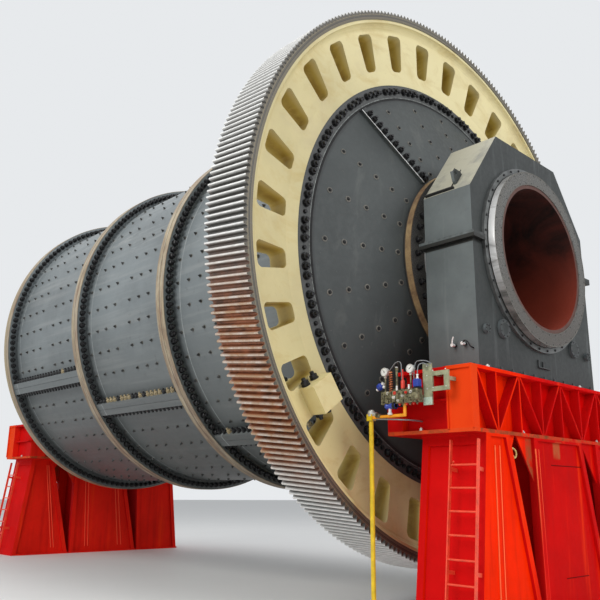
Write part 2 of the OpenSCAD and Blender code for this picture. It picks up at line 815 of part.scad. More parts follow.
// Board on brackets at the near end of the discharge girder: a mast with an open frame
module lube_board() {
    bracket_w = 50;
    behind_y = board_y + board_t;
    frame_x = mast_x + mast_w;
    frame_z = mast_z + (mast_h - frame_h) * 0.6;
    translate([mast_x, board_y, mast_z]) cube([mast_w, board_t, mast_h]);
    difference() {
        translate([frame_x - 1, board_y, frame_z]) cube([frame_w + 1, board_t, frame_h]);
        translate([frame_x + frame_bar / 3, board_y - over, frame_z + frame_bar])
            cube([frame_w - frame_bar * 1.6, board_t + 2 * over, frame_h - 2 * frame_bar]);
    }
    translate([mast_x + mast_w / 2, behind_y, mast_z + mast_h - 3 * bracket_w])
        cube([bracket_w, end_inset - girder_y - behind_y, bracket_w]);
    translate([frame_x + frame_w - bracket_w, behind_y, frame_z + frame_h / 2])
        cube([bracket_w, -girder_y - behind_y, bracket_w]);
}

// Manifold block with gauge pipes, flow tubes and a pipe back to the bearing
module lube_manifold() {
    back_x = manifold_x + manifold_l * 0.72;
    translate([manifold_x, pipe_y - manifold_w / 2, manifold_z]) cube([manifold_l, manifold_w, manifold_h]);
    for (x = [stub_x1, stub_x2])
        translate([x, pipe_y, manifold_top - 1])
            cylinder(d = stub_d, h = gauge_z - dial_d / 2 - boss_w - manifold_top + 1, $fn = 24);
    translate([manifold_x + manifold_l * 0.38, pipe_y, manifold_top - 1]) flow_tube(tube_h);
    translate([manifold_x + manifold_l * 0.55, pipe_y, manifold_top - 1]) flow_tube(tube_h * 0.4);
    translate([back_x, pipe_y + manifold_w / 2 - 1, manifold_z + manifold_h * 0.65]) rotate([-90, 0, 0])
        cylinder(d = feed_d, h = end_inset - girder_y - pipe_y - manifold_w / 2 + 1, $fn = 32);
}

// Upright sight tube with a square foot and a round cap
module flow_tube(h) {
    cap_d = tube_d * 1.4;
    translate([-cap_d / 2, -cap_d / 2, 0]) cube([cap_d, cap_d, tube_foot]);
    cylinder(d = tube_d, h = h, $fn = 32);
    translate([0, 0, h - tube_foot]) cylinder(d = cap_d, h = tube_foot, $fn = 32);
}

// Feed pipe from the riser, with an elbow up into the manifold
module lube_pipes() {
    start_x = riser_x + joint_w / 2;
    translate([start_x, pipe_y, feed_z]) along_x() cylinder(d = feed_d, h = elbow_x - start_x, $fn = 32);
    translate([start_x, pipe_y, feed_z]) along_x() cylinder(d = feed_d * 1.5, h = 70, $fn = 6);
    translate([elbow_x, pipe_y, feed_z]) sphere(d = feed_d, $fn = 32);
    translate([elbow_x, pipe_y, feed_z]) cylinder(d = feed_d, h = manifold_z - feed_z, $fn = 32);
}

// Valves: one on the feed pipe, one on the manifold and one on the first gauge pipe
module lube_valves() {
    translate([manifold_x + manifold_l * 0.22, pipe_y, feed_z + feed_d / 2]) valve(valve_l);
    translate([manifold_x + manifold_l - valve_w, pipe_y, manifold_top]) valve(2 * valve_w);
    translate([stub_x1 - stub_d / 2 - 70, pipe_y, manifold_top + 80]) {
        along_x() cylinder(d = 36, h = 70, $fn = 24);
        rotate([0, -90, 0]) cylinder(d = 76, h = 30, $fn = 32);
    }
}

// Valve body of a given height with a handwheel facing outwards
module valve(h) {
    translate([-valve_w / 2, -valve_w / 2, 0]) cube([valve_w, valve_w, h]);
    translate([0, 0, h / 2]) rotate([90, 0, 0]) cylinder(d = valve_w * 0.4, h = wheel_d, $fn = 24);
    translate([0, -wheel_d, h / 2]) rotate([90, 0, 0]) cylinder(d = wheel_d, h = valve_w / 3, $fn = 32);
}

// Dial gauges on square bosses
module lube_gauges() {
    for (x = [stub_x1, stub_x2])
        translate([x, pipe_y, gauge_z]) {
            translate([0, dial_t / 2, 0]) rotate([90, 0, 0]) cylinder(d = dial_d, h = dial_t, $fn = 48);
            translate([-boss_w / 2, -boss_w / 2, -dial_d / 2 - boss_w]) cube([boss_w, boss_w, dial_d / 2]);
        }
}

// Vertical riser from the floor, with a square joint at its head and a foot plate
module riser_pipe() {
    translate([riser_x, pipe_y, 0]) {
        cylinder(d = riser_d, h = feed_z, $fn = 32);
        cylinder(d = riser_d * 2.2, h = 16, $fn = 32);
        translate([-joint_w / 2, -joint_w / 2, feed_z - joint_w / 2]) cube([joint_w, joint_w, joint_w]);
    }
}

color(paint_grey) shell_can(-head_x0, -middle_can_l / 2, feed_joint_a);  // feed_shell_can
color(paint_grey) shell_can(-middle_can_l / 2, middle_can_l / 2, middle_joint_a);  // middle_shell_can
color(paint_grey) shell_can(middle_can_l / 2, head_x0, discharge_joint_a);  // discharge_shell_can
color(paint_grey) at_feed() mill_head();  // feed_head
color(paint_grey) mill_head();  // discharge_head
color(bare_steel) at_feed() trunnion();  // feed_trunnion
color(bare_steel) trunnion();  // discharge_trunnion
color(liner_red) at_feed() liner();  // feed_liner
color(liner_red) liner();  // discharge_liner
color(bare_steel) on_axis() translate([gear_x1, 0, 0]) along_x() difference() {  // gear_teeth
        linear_extrude(height = gear_w, twist = -helix_turn, slices = 1) tooth_ring();
        translate([0, 0, -over]) cylinder(r = rim_ri, h = gear_w + 2 * over, $fn = 240);
    }
color(cast_cream) gear_half(-1);  // gear_near_half
color(cast_cream) gear_half(1);  // gear_far_half
color(paint_grey) at_feed() bearing_housing();  // feed_bearing_housing
color(paint_grey) bearing_housing();  // discharge_bearing_housing
color(paint_grey) at_feed() bearing_cap();  // feed_bearing_cap
color(paint_grey) bearing_cap();  // discharge_bearing_cap
color(bare_steel) at_feed() bush();  // feed_bush
color(bare_steel) bush();  // discharge_bush
color(paint_grey) at_feed() seal_rings();  // feed_seal_rings
color(paint_grey) seal_rings();  // discharge_seal_rings
color(paint_grey) at_feed() covers();  // feed_covers
color(paint_grey) covers();  // discharge_covers
color(paint_red) at_feed() girder();  // feed_girder
color(paint_red) girder();  // discharge_girder
color(paint_red) at_feed() near_stand();  // feed_near_stand
color(paint_red) near_stand();  // discharge_near_stand
color(paint_red) at_feed() middle_stand();  // feed_middle_stand
color(paint_red) middle_stand();  // discharge_middle_stand
color(paint_red) at_feed() far_stand();  // feed_far_stand
color(paint_red) far_stand();  // discharge_far_stand
color(paint_red) at_feed() braces();  // feed_braces
color(paint_red) braces();  // discharge_braces
color(paint_red) at_feed() ladder();  // feed_ladder
color(paint_red) ladder();  // discharge_ladder
color(board_grey) lube_board();
color(board_grey) lube_manifold();
color(pipe_yellow) lube_pipes();
color(valve_blue) lube_valves();
color(dial_white) lube_gauges();
color(pipe_yellow) riser_pipe();
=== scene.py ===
# Ball mill with a girth gear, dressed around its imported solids.
# Metres: X along the mill's axis towards the discharge end, Z up from the floor.
import json
import math

import bmesh
import bpy
import numpy as np
from mathutils import Matrix, Vector


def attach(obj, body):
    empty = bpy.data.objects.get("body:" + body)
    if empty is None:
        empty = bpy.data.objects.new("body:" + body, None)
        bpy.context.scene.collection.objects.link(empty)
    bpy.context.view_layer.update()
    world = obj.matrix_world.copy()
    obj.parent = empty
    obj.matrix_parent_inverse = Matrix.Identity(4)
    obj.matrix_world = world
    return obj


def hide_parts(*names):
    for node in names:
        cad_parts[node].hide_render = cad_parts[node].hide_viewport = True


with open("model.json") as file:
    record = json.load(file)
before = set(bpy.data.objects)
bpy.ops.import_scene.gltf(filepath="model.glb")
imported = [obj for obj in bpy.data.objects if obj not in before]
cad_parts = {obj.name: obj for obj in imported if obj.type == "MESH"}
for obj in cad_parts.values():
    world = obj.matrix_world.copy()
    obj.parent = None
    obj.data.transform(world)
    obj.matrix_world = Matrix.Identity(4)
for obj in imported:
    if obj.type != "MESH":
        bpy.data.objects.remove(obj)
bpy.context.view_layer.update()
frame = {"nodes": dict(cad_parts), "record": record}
nodes = frame["nodes"]
axisHeight = 5.4
rimRadius = 3.706  # the ring flanges are bare steel from here outwards
nearAxis = 0.0005  # solid turned parts are closed this close to their middle
lengthwise, nearSide, upright = (1, 0, 0), (0, -1, 0), (0, 0, 1)
random = np.random.default_rng(11)
print("frame loaded:", len(nodes), "solids")


# meshes built from arrays
def prism(sides, radius, low, high, turn=0.0, top=None):
    # closed prism along Z; top is the upper radius where it tapers
    top = radius if top is None else top
    angles = [turn + math.tau * i / sides for i in range(sides)]
    verts = [(r * math.cos(a), r * math.sin(a), z) for r, z in ((radius, low), (top, high)) for a in angles]
    faces = [(i, (i + 1) % sides, sides + (i + 1) % sides, sides + i) for i in range(sides)]
    faces.append(tuple(reversed(range(sides))))
    faces.append(tuple(range(sides, 2 * sides)))
    return np.array(verts), faces


def box(low, high, bevel=0.0):
    # block between two corners, with its upright and flat edges cut by bevel
    x0, y0, z0 = low
    x1, y1, z1 = high
    if not bevel:
        verts = [(x0, y0, z0), (x1, y0, z0), (x1, y1, z0), (x0, y1, z0),
                 (x0, y0, z1), (x1, y0, z1), (x1, y1, z1), (x0, y1, z1)]
        faces = [(3, 2, 1, 0), (4, 5, 6, 7), (0, 1, 5, 4), (1, 2, 6, 5), (2, 3, 7, 6), (3, 0, 4, 7)]
        return np.array(verts, float), faces

    def outline(inset, z):
        c = bevel + inset
        return [(x0 + c, y0 + inset, z), (x1 - c, y0 + inset, z), (x1 - inset, y0 + c, z),
                (x1 - inset, y1 - c, z), (x1 - c, y1 - inset, z), (x0 + c, y1 - inset, z),
                (x0 + inset, y1 - c, z), (x0 + inset, y0 + c, z)]

    loops = [outline(bevel, z0), outline(0.0, z0 + bevel), outline(0.0, z1 - bevel), outline(bevel, z1)]
    verts = [p for loop in loops for p in loop]
    faces = [tuple(reversed(range(8))), tuple(range(24, 32))]
    for k in range(3):
        for i in range(8):
            j = (i + 1) % 8
            faces.append((8 * k + i, 8 * k + j, 8 * k + 8 + j, 8 * k + 8 + i))
    return np.array(verts, float), faces


def lathe(profile, sides=32):
    # closed profile of (radius, height) points turned about Z
    verts = []
    for i in range(sides):
        a = math.tau * i / sides
        verts += [(r * math.cos(a), r * math.sin(a), z) for r, z in profile]
    n = len(profile)
    faces = []
    for i in range(sides):
        j = (i + 1) % sides
        for k in range(n):
            m = (k + 1) % n
            faces.append((i * n + k, j * n + k, j * n + m, i * n + m))
    return np.array(verts), faces


def knob(profile, sides=20, dome=0.0):
    # solid turned part, flat at its start and raised by dome at its end
    return lathe([(nearAxis, profile[0][1])] + profile + [(nearAxis, profile[-1][1] + dome)], sides)


def tube(points, radius, sides=10, steps=6):
    # smooth round tube through the points
    path = []
    pts = [Vector(p) for p in points]
    ext = [2 * pts[0] - pts[1]] + pts + [2 * pts[-1] - pts[-2]]
    for k in range(len(pts) - 1):
        p0, p1, p2, p3 = ext[k:k + 4]
        for s in range(steps):
            t = s / steps
            path.append(0.5 * (2 * p1 + (p2 - p0) * t + (2 * p0 - 5 * p1 + 4 * p2 - p3) * t * t
                               + (3 * p1 - p0 - 3 * p2 + p3) * t ** 3))
    path.append(pts[-1])
    verts, faces = [], []
    side = None
    for k, p in enumerate(path):
        ahead = (path[min(k + 1, len(path) - 1)] - path[max(k - 1, 0)]).normalized()
        if side is None:
            side = ahead.orthogonal().normalized()
        side = (side - ahead * side.dot(ahead)).normalized()
        up = ahead.cross(side)
        for i in range(sides):
            a = math.tau * i / sides
            verts.append(p + (side * math.cos(a) + up * math.sin(a)) * radius)
    for k in range(len(path) - 1):
        for i in range(sides):
            j = (i + 1) % sides
            faces.append((k * sides + i, k * sides + j, (k + 1) * sides + j, (k + 1) * sides + i))
    faces.append(tuple(reversed(range(sides))))
    faces.append(tuple(range((len(path) - 1) * sides, len(path) * sides)))
    return np.array([tuple(v) for v in verts]), faces


def merged(shapes):
    verts, faces, start = [], [], 0
    for v, f in shapes:
        verts.append(v)
        faces += [tuple(start + i for i in face) for face in f]
        start += len(v)
    return np.concatenate(verts), faces


def placed(shape, places):
    # one copy of the shape for each 4x4 place
    verts, faces = shape
    return merged([(verts @ p[:3, :3].T + p[:3, 3], faces) for p in places])


def place(origin, ahead, across):
    # 4x4 place whose Z runs ahead and whose X runs across
    z = np.array(ahead, float) / np.linalg.norm(ahead)
    x = np.array(across, float) - np.dot(across, z) * z
    x /= np.linalg.norm(x)
    m = np.eye(4)
    m[:3, 0], m[:3, 1], m[:3, 2], m[:3, 3] = x, np.cross(z, x), z, origin
    return m


def setAt(shape, origin, ahead=upright, across=lengthwise):
    return placed(shape, [place(origin, ahead, across)])


def spun(degrees, lift=0.0):
    # 4x4 place turned about Z
    a = math.radians(degrees)
    m = np.eye(4)
    m[0, 0], m[0, 1], m[1, 0], m[1, 1], m[2, 3] = math.cos(a), -math.sin(a), math.sin(a), math.cos(a), lift
    return m


def outward(degrees):
    # direction at an angle from straight up towards +Y
    a = math.radians(degrees)
    return np.array([0.0, math.sin(a), math.cos(a)])


def along(degrees):
    # direction in which the angle grows
    a = math.radians(degrees)
    return np.array([0.0, math.cos(a), -math.sin(a)])


def onDrum(x, radius, degrees, sideways=0.0):
    return np.array([x, 0.0, axisHeight]) + radius * outward(degrees) + sideways * along(degrees)


def turned(profile, sides=180):
    # closed profile of (radius, x) points turned about the mill's axis
    return setAt(lathe(profile, sides), (0.0, 0.0, axisHeight), lengthwise, upright)


def mirrored(shape):
    # the same shape at the feed end
    verts, faces = shape
    return verts * np.array([-1.0, 1.0, 1.0]), [tuple(reversed(f)) for f in faces]


def addPiece(name, body, material, shapes):
    verts, faces = merged(shapes)
    mesh = bpy.data.meshes.new(name)
    mesh.from_pydata(verts.tolist(), [], faces)
    mesh.materials.append(material)
    work = bmesh.new()
    work.from_mesh(mesh)
    bmesh.ops.recalc_face_normals(work, faces=work.faces)
    work.to_mesh(mesh)
    work.free()
    mesh.shade_smooth()
    mesh.set_sharp_from_angle(angle=math.radians(35.0))
    piece = bpy.data.objects.new(name, mesh)
    bpy.context.scene.collection.objects.link(piece)
    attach(piece, body)
    return piece


def addAtBothEnds(body, pieces):
    # each piece is (name's ending, slot, material, shapes), made at the discharge end and mirrored
    for end in ("discharge", "feed"):
        for ending, slotName, material, shapes in pieces:
            shapes = [mirrored(s) for s in shapes] if end == "feed" else shapes
            addPiece(end + ending, body, material, shapes)


class Surface:
    # small helper around one material's node tree
    def __init__(self, name):
        self.material = bpy.data.materials.new(name)
        self.material.use_nodes = True
        self.tree = self.material.node_tree
        self.shader = self.tree.nodes["Principled BSDF"]
        self.coords = self.tree.nodes.new("ShaderNodeTexCoord").outputs["Object"]

    def node(self, kind, values=None, **settings):
        made = self.tree.nodes.new(kind)
        for key, value in settings.items():
            setattr(made, key, value)
        for key, value in (values or {}).items():
            self.put(made.inputs[key], value)
        return made

    def put(self, socket, value):
        if isinstance(value, bpy.types.NodeSocket):
            self.tree.links.new(value, socket)
        elif isinstance(value, (tuple, list)) and socket.type == "RGBA":
            socket.default_value = (*value[:3], 1.0)
        else:
            socket.default_value = value

    def noise(self, scale, detail=4.0, rough=0.55, stretch=None, distort=0.0):
        at = self.coords
        if stretch:
            at = self.node("ShaderNodeMapping", {"Vector": at, "Scale": stretch}).outputs[0]
        return self.node("ShaderNodeTexNoise", {
            "Vector": at, "Scale": scale, "Detail": detail, "Roughness": rough,
            "Distortion": distort}).outputs["Fac"]

    def span(self, value, low, high, to=(0.0, 1.0)):
        # stretches low..high to the range in to, and stops at its ends
        return self.node("ShaderNodeMapRange", {
            "Value": value, "From Min": low, "From Max": high, "To Min": to[0], "To Max": to[1]},
            clamp=True).outputs[0]

    def maths(self, operation, a, b=0.0):
        return self.node("ShaderNodeMath", {0: a, 1: b}, operation=operation).outputs[0]

    def both(self, a, b):
        return self.maths("MULTIPLY", a, b)

    def either(self, a, b):
        return self.maths("MAXIMUM", a, b)

    def mix(self, factor, a, b, blend="MIX"):
        made = self.node("ShaderNodeMix", data_type="RGBA", blend_type=blend)
        self.put(made.inputs[0], factor)
        self.put(made.inputs[6], a)
        self.put(made.inputs[7], b)
        return made.outputs[2]

    def shades(self, factor, color, low, high):
        return self.mix(factor, tuple(low * c for c in color), tuple(min(1.0, high * c) for c in color))

    def normalPart(self, axis):
        normal = self.node("ShaderNodeNewGeometry").outputs["Normal"]
        return self.node("ShaderNodeSeparateXYZ", {0: normal}).outputs[axis]

    def facing(self, axis, low=0.6, high=0.85):
        # 1 on faces square to an axis, either way round
        return self.span(self.maths("ABSOLUTE", self.normalPart(axis)), low, high)

    def place(self, axis):
        return self.node("ShaderNodeSeparateXYZ", {0: self.coords}).outputs[axis]

    def away(self, axis):
        # distance from the frame's middle along an axis
        return self.maths("ABSOLUTE", self.place(axis))

    def radius(self):
        # distance from the mill's axis
        flat = self.node("ShaderNodeMapping", {
            "Vector": self.coords, "Location": (0.0, 0.0, -axisHeight), "Scale": (0.0, 1.0, 1.0)})
        return self.node("ShaderNodeVectorMath", {0: flat.outputs[0]}, operation="LENGTH").outputs["Value"]

    def band(self, value, low, high, soft=0.003):
        inside = self.span(value, low - soft, low + soft)
        return self.both(inside, self.span(value, high - soft, high + soft, (1.0, 0.0)))

    def bands(self, value, ranges, soft=0.003):
        found = self.band(value, *ranges[0], soft)
        for low, high in ranges[1:]:
            found = self.either(found, self.band(value, low, high, soft))
        return found

    def bump(self, height, strength, distance):
        return self.node("ShaderNodeBump", {
            "Height": height, "Strength": strength, "Distance": distance}).outputs[0]

    def finish(self, color, roughness, metallic=0.0, normal=None, **uniform):
        self.put(self.shader.inputs["Base Color"], color)
        self.put(self.shader.inputs["Roughness"], roughness)
        self.put(self.shader.inputs["Metallic"], metallic)
        if normal is not None:
            self.put(self.shader.inputs["Normal"], normal)
        for key, value in uniform.items():
            self.shader.inputs[key.replace("_", " ")].default_value = value
        return self.material


# finishes: colours are linear, radii are from the mill's axis
shellFinish = {
    "grey": (0.150, 0.172, 0.180), "dust": (0.36, 0.37, 0.36), "speck": (0.055, 0.06, 0.06),
    "lowShade": (0.066, 0.070, 0.066), "line": (0.34, 0.36, 0.36), "rim": (0.34, 0.275, 0.175),
    "rimRust": (0.20, 0.095, 0.045), "rimPale": (0.46, 0.43, 0.36), "rimLow": (0.15, 0.085, 0.05),
    "groove": (0.05, 0.035, 0.025), "lines": ((-4.915, -4.89), (-1.325, -1.30), (1.975, 2.0)),
    "grooves": ((1.644, 1.656), (5.232, 5.244))}


def paintedShell(v):
    # grey paint with dusty scuffs, painted shade darkening it towards the bottom, a pale line beside each ring
    # joint and streaky bare rims
    s = Surface("shellPaint")
    x, z = s.place(0), s.place(2)
    clouds = s.noise(0.7, 5.0, 0.6)
    fine = s.noise(9.0, 5.0, 0.65)
    scuffs = s.noise(1.3, 7.0, 0.7, stretch=(0.5, 2.6, 2.6), distort=0.6)
    smears = s.noise(1.0, 5.0, 0.6, stretch=(0.35, 7.0, 7.0))
    color = s.shades(s.span(clouds, 0.35, 0.65), v["grey"], 0.84, 1.16)
    color = s.mix(s.span(smears, 0.5, 0.78, (0.0, 0.35)), color, v["dust"])
    high = s.span(z, 5.6, 8.2, (0.15, 0.8))
    color = s.mix(s.both(s.span(scuffs, 0.56, 0.72), high), color, v["dust"])
    color = s.mix(s.span(fine, 0.60, 0.74, (0.0, 0.35)), color, v["speck"])
    # painted shade: the grey darkens towards the bottom of the drum
    lowShade = s.both(s.span(z, 5.2, 2.6), s.span(clouds, 0.30, 0.55, (0.45, 0.75)))
    color = s.mix(lowShade, color, v["lowShade"])
    worn = s.span(fine, 0.35, 0.55, (0.2, 0.7))
    color = s.mix(s.both(s.bands(x, v["lines"]), worn), color, v["line"])
    onRim = s.span(s.radius(), rimRadius, rimRadius + 0.006)
    rust = s.noise(1.8, 6.0, 0.7, stretch=(6.0, 1.0, 1.0))
    streaks = s.noise(30.0, 3.0, 0.6, stretch=(1.0, 0.05, 0.05))
    patches = s.noise(3.5, 5.0, 0.7, stretch=(3.0, 1.0, 1.0))
    rim = s.shades(s.span(patches, 0.3, 0.7), v["rim"], 0.6, 1.3)
    rim = s.mix(s.span(rust, 0.45, 0.7), rim, v["rimRust"])
    rim = s.mix(s.span(streaks, 0.45, 0.65, (0.0, 0.5)), rim, v["rimPale"])
    lowRust = s.both(s.span(z, 5.6, 3.2), s.span(rust, 0.35, 0.6))
    rim = s.mix(s.both(lowRust, 0.6), rim, v["rimLow"])
    rim = s.mix(s.bands(s.away(0), v["grooves"], 0.002), rim, v["groove"])
    color = s.mix(onRim, color, rim)
    rough = s.mix(s.span(fine, 0.3, 0.7, (0.0, 0.5)), (0.44,) * 3, (0.6,) * 3)
    rough = s.mix(onRim, rough, (0.5,) * 3)
    height = s.maths("ADD", s.noise(2.6, 4.0), s.both(fine, 0.15))
    return s.finish(color, rough, 0.0, s.bump(height, 0.22, 0.02), Coat_Weight=0.10, Coat_Roughness=0.3)


headFinish = {
    "grey": (0.050, 0.057, 0.056), "smear": (0.13, 0.135, 0.125), "speck": (0.20, 0.20, 0.19),
    "band": (0.082, 0.084, 0.082), "groove": (0.035, 0.038, 0.038), "outer": (0.085, 0.085, 0.078),
    "bandRadii": (3.475, 3.70), "grooveShadeRadii": (3.40, 3.47)}


def paintedHead(v):
    # darker grey, with a dusty bolting band, painted shade in the groove inside it, and a beige rim at the feed
    # end
    s = Surface("headPaint")
    r = s.radius()
    clouds = s.noise(0.8, 5.0, 0.6)
    fine = s.noise(14.0, 5.0, 0.6)
    smears = s.noise(1.1, 6.0, 0.65, stretch=(1.0, 2.4, 0.9), distort=0.5)
    color = s.shades(s.span(clouds, 0.35, 0.65), v["grey"], 0.86, 1.14)
    color = s.mix(s.span(smears, 0.58, 0.8, (0.0, 0.5)), color, v["smear"])
    color = s.mix(s.span(fine, 0.64, 0.78, (0.0, 0.3)), color, v["speck"])
    color = s.mix(s.band(r, *v["bandRadii"]), color, s.shades(fine, v["band"], 0.55, 1.45))
    # painted shade: darker in the groove at the bolting band's inner edge
    color = s.mix(s.band(r, *v["grooveShadeRadii"], 0.02), color, v["groove"])
    outer = s.span(r, rimRadius, rimRadius + 0.006)
    color = s.mix(outer, color, v["outer"])
    color = s.mix(s.both(outer, s.span(s.place(0), 0.1, -0.1)), color, shellFinish["rim"])
    return s.finish(color, s.span(fine, 0.3, 0.7, (0.48, 0.62)), 0.0, s.bump(s.noise(2.5, 4.0), 0.14, 0.02),
                    Specular_IOR_Level=0.35)


castFinish = {
    "cream": (0.655, 0.565, 0.300), "low": (0.76, 0.66, 0.33), "high": (0.84, 0.74, 0.42),
    "stain": (0.52, 0.36, 0.10), "pink": (0.50, 0.41, 0.26), "speck": (0.40, 0.33, 0.17),
    "slotGoldShade": (0.60, 0.45, 0.10), "brown": (0.36, 0.23, 0.028), "edge": (0.46, 0.36, 0.13),
    "middle": 5.18, "slotRadii": (3.982, 4.655), "edgeRadii": (4.69, 4.79)}


def castCream(v):
    # painted casting: soft stains, painted light brightening it low and high on the ring, and slots that go
    # from cream to gold and brown inside as painted shade
    s = Surface("castCream")
    z, r = s.place(2), s.radius()
    clouds = s.noise(0.9, 5.0, 0.6)
    fine = s.noise(16.0, 5.0, 0.65)
    stains = s.noise(1.5, 6.0, 0.65, stretch=(1.0, 0.8, 1.6), distort=0.5)
    pinkish = s.noise(0.8, 5.0, 0.6, distort=0.4)
    color = s.shades(s.span(clouds, 0.35, 0.65), v["cream"], 0.92, 1.06)
    # painted light: brighter, warmer cream low and high on the ring
    color = s.mix(s.span(z, 4.4, 2.4, (0.0, 0.85)), color, v["low"])
    color = s.mix(s.span(z, 7.8, 9.4, (0.0, 0.85)), color, v["high"])
    color = s.mix(s.span(stains, 0.50, 0.74, (0.0, 0.5)), color, v["stain"])
    color = s.mix(s.span(pinkish, 0.52, 0.72, (0.0, 0.4)), color, v["pink"])
    color = s.mix(s.span(fine, 0.62, 0.8, (0.0, 0.3)), color, v["speck"])
    # painted shade: slot walls go from cream to gold deeper in, and to brown in stained patches deepest in
    depth = s.maths("ABSOLUTE", s.maths("SUBTRACT", s.place(0), v["middle"]))
    slot = s.both(s.facing(0, 0.75, 0.35), s.band(r, *v["slotRadii"], 0.02))
    wall = s.mix(s.span(depth, 0.26, 0.10), v["cream"], v["slotGoldShade"])
    wall = s.mix(s.both(s.span(depth, 0.16, 0.02), s.span(stains, 0.3, 0.55)), wall, v["brown"])
    color = s.mix(s.both(slot, s.span(depth, 0.295, 0.282)), color, wall)
    # painted shade with a golden tint on the rim's inner fillet, in patches
    edge = s.both(s.band(r, *v["edgeRadii"], 0.03), s.span(s.noise(0.45, 3.0), 0.42, 0.6))
    color = s.mix(s.both(edge, s.both(s.facing(0, 0.5, 0.95), 0.55)), color, v["edge"])
    height = s.maths("ADD", s.noise(5.0, 4.0), s.both(fine, 0.3))
    return s.finish(color, s.span(fine, 0.3, 0.7, (0.45, 0.6)), 0.0, s.bump(height, 0.25, 0.01),
                    Specular_IOR_Level=0.35)


toothFinish = {
    "landSteelAndSheen": (0.80, 0.80, 0.78), "rustyLand": (0.42, 0.27, 0.16), "flank": (0.15, 0.145, 0.135),
    "rust": (0.26, 0.095, 0.042), "sideDark": (0.060, 0.056, 0.050), "sideWarm": (0.22, 0.185, 0.12),
    "sidePale": (0.34, 0.33, 0.31), "landRadii": (4.955, 4.992)}


def toothSteel(v):
    # machined teeth: bright lands that are partly bare steel and partly a painted highlight, rusty flanks,
    # ringed side faces
    s = Surface("toothSteel")
    r = s.radius()
    fine = s.noise(20.0, 4.0, 0.6, stretch=(0.4, 2.0, 2.0))
    spots = s.noise(4.0, 5.0, 0.7)
    height = s.maths("ADD", s.place(2), s.both(s.noise(0.45, 4.0, 0.6), 1.6))
    low = s.both(s.span(height, 5.9, 4.7), s.span(height, 2.3, 3.1))
    flank = s.mix(low, v["flank"], s.shades(s.span(spots, 0.35, 0.65), v["rust"], 0.5, 1.7))
    # lands: near-white, partly bare steel and partly a painted highlight
    landSteelAndSheen = s.shades(s.span(fine, 0.3, 0.7), v["landSteelAndSheen"], 0.85, 1.15)
    landSteelAndSheen = s.mix(s.both(low, s.span(spots, 0.35, 0.6, (0.45, 1.0))), landSteelAndSheen, v["rustyLand"])
    color = s.mix(s.span(r, *v["landRadii"]), flank, landSteelAndSheen)
    rings = s.node("ShaderNodeTexNoise", {"W": r, "Scale": 55.0, "Detail": 2.0}, noise_dimensions="1D")
    side = s.mix(s.span(rings.outputs["Fac"], 0.42, 0.66), v["sideDark"], v["sideWarm"])
    side = s.mix(s.span(fine, 0.58, 0.78, (0.0, 0.5)), side, v["sidePale"])
    color = s.mix(s.facing(0, 0.8, 0.95), color, side)
    return s.finish(color, s.span(fine, 0.2, 0.8, (0.32, 0.5)), 0.3, s.bump(fine, 0.12, 0.003))


journalFinish = {
    "highlight": (0.96, 0.96, 0.95), "run": (0.34, 0.335, 0.32), "dull": (0.34, 0.33, 0.31),
    "dullRun": (0.12, 0.115, 0.105), "pit": (0.038, 0.038, 0.036), "grain": (0.205, 0.20, 0.185),
    "blotch": (0.12, 0.105, 0.085), "lowStain": (0.075, 0.060, 0.050), "golden": (0.34, 0.235, 0.115),
    "brown": (0.15, 0.085, 0.045), "rimLine": (0.045, 0.035, 0.028), "rimRadii": (1.825, 1.835),
    "lineX": (5.868, 5.892)}


def journalSteel(v):
    # turned steel: polished collar band with a painted highlight on its near side, pitted end face, rusty
    # flange rim
    s = Surface("journalSteel")
    z = s.place(2)
    grain = s.noise(45.0, 5.0, 0.75)
    blotch = s.noise(2.2, 5.0, 0.7)
    runs = s.noise(1.6, 5.0, 0.7, stretch=(0.5, 1.6, 1.6), distort=0.8)
    flat = s.facing(0, 0.8, 0.95)
    # painted highlight: near-white streaky steel, used on the -Y side between Z 4.75 and 6.25
    highlighted = s.mix(s.span(runs, 0.57, 0.70), v["highlight"], v["run"])
    dulled = s.mix(s.span(runs, 0.42, 0.62), v["dull"], v["dullRun"])
    highlightZone = s.both(s.band(z, 4.75, 6.25, 0.35), s.span(s.place(1), 0.3, -0.6))
    pitted = s.mix(s.span(grain, 0.38, 0.66), v["pit"], v["grain"])
    pitted = s.mix(s.span(blotch, 0.5, 0.75, (0.0, 0.5)), pitted, v["blotch"])
    pitted = s.mix(s.span(z, 5.3, 4.2, (0.0, 0.55)), pitted, v["lowStain"])
    color = s.mix(flat, s.mix(highlightZone, dulled, highlighted), pitted)
    rim = s.span(s.radius(), *v["rimRadii"])
    golden = s.mix(s.span(s.noise(3.0, 5.0, 0.7), 0.38, 0.62), v["golden"], v["brown"])
    golden = s.mix(s.band(s.away(0), *v["lineX"]), golden, v["rimLine"])
    color = s.mix(rim, color, golden)
    dull = s.either(flat, rim)
    return s.finish(color, s.span(dull, 0.0, 1.0, (0.24, 0.62)), s.span(dull, 0.0, 1.0, (0.40, 0.15)),
                    s.bump(grain, 0.25, 0.005))


linerFinish = {"dark": (0.012, 0.006, 0.005), "red": (0.085, 0.018, 0.012), "orange": (0.27, 0.040, 0.020),
               "lip": (0.10, 0.045, 0.035)}


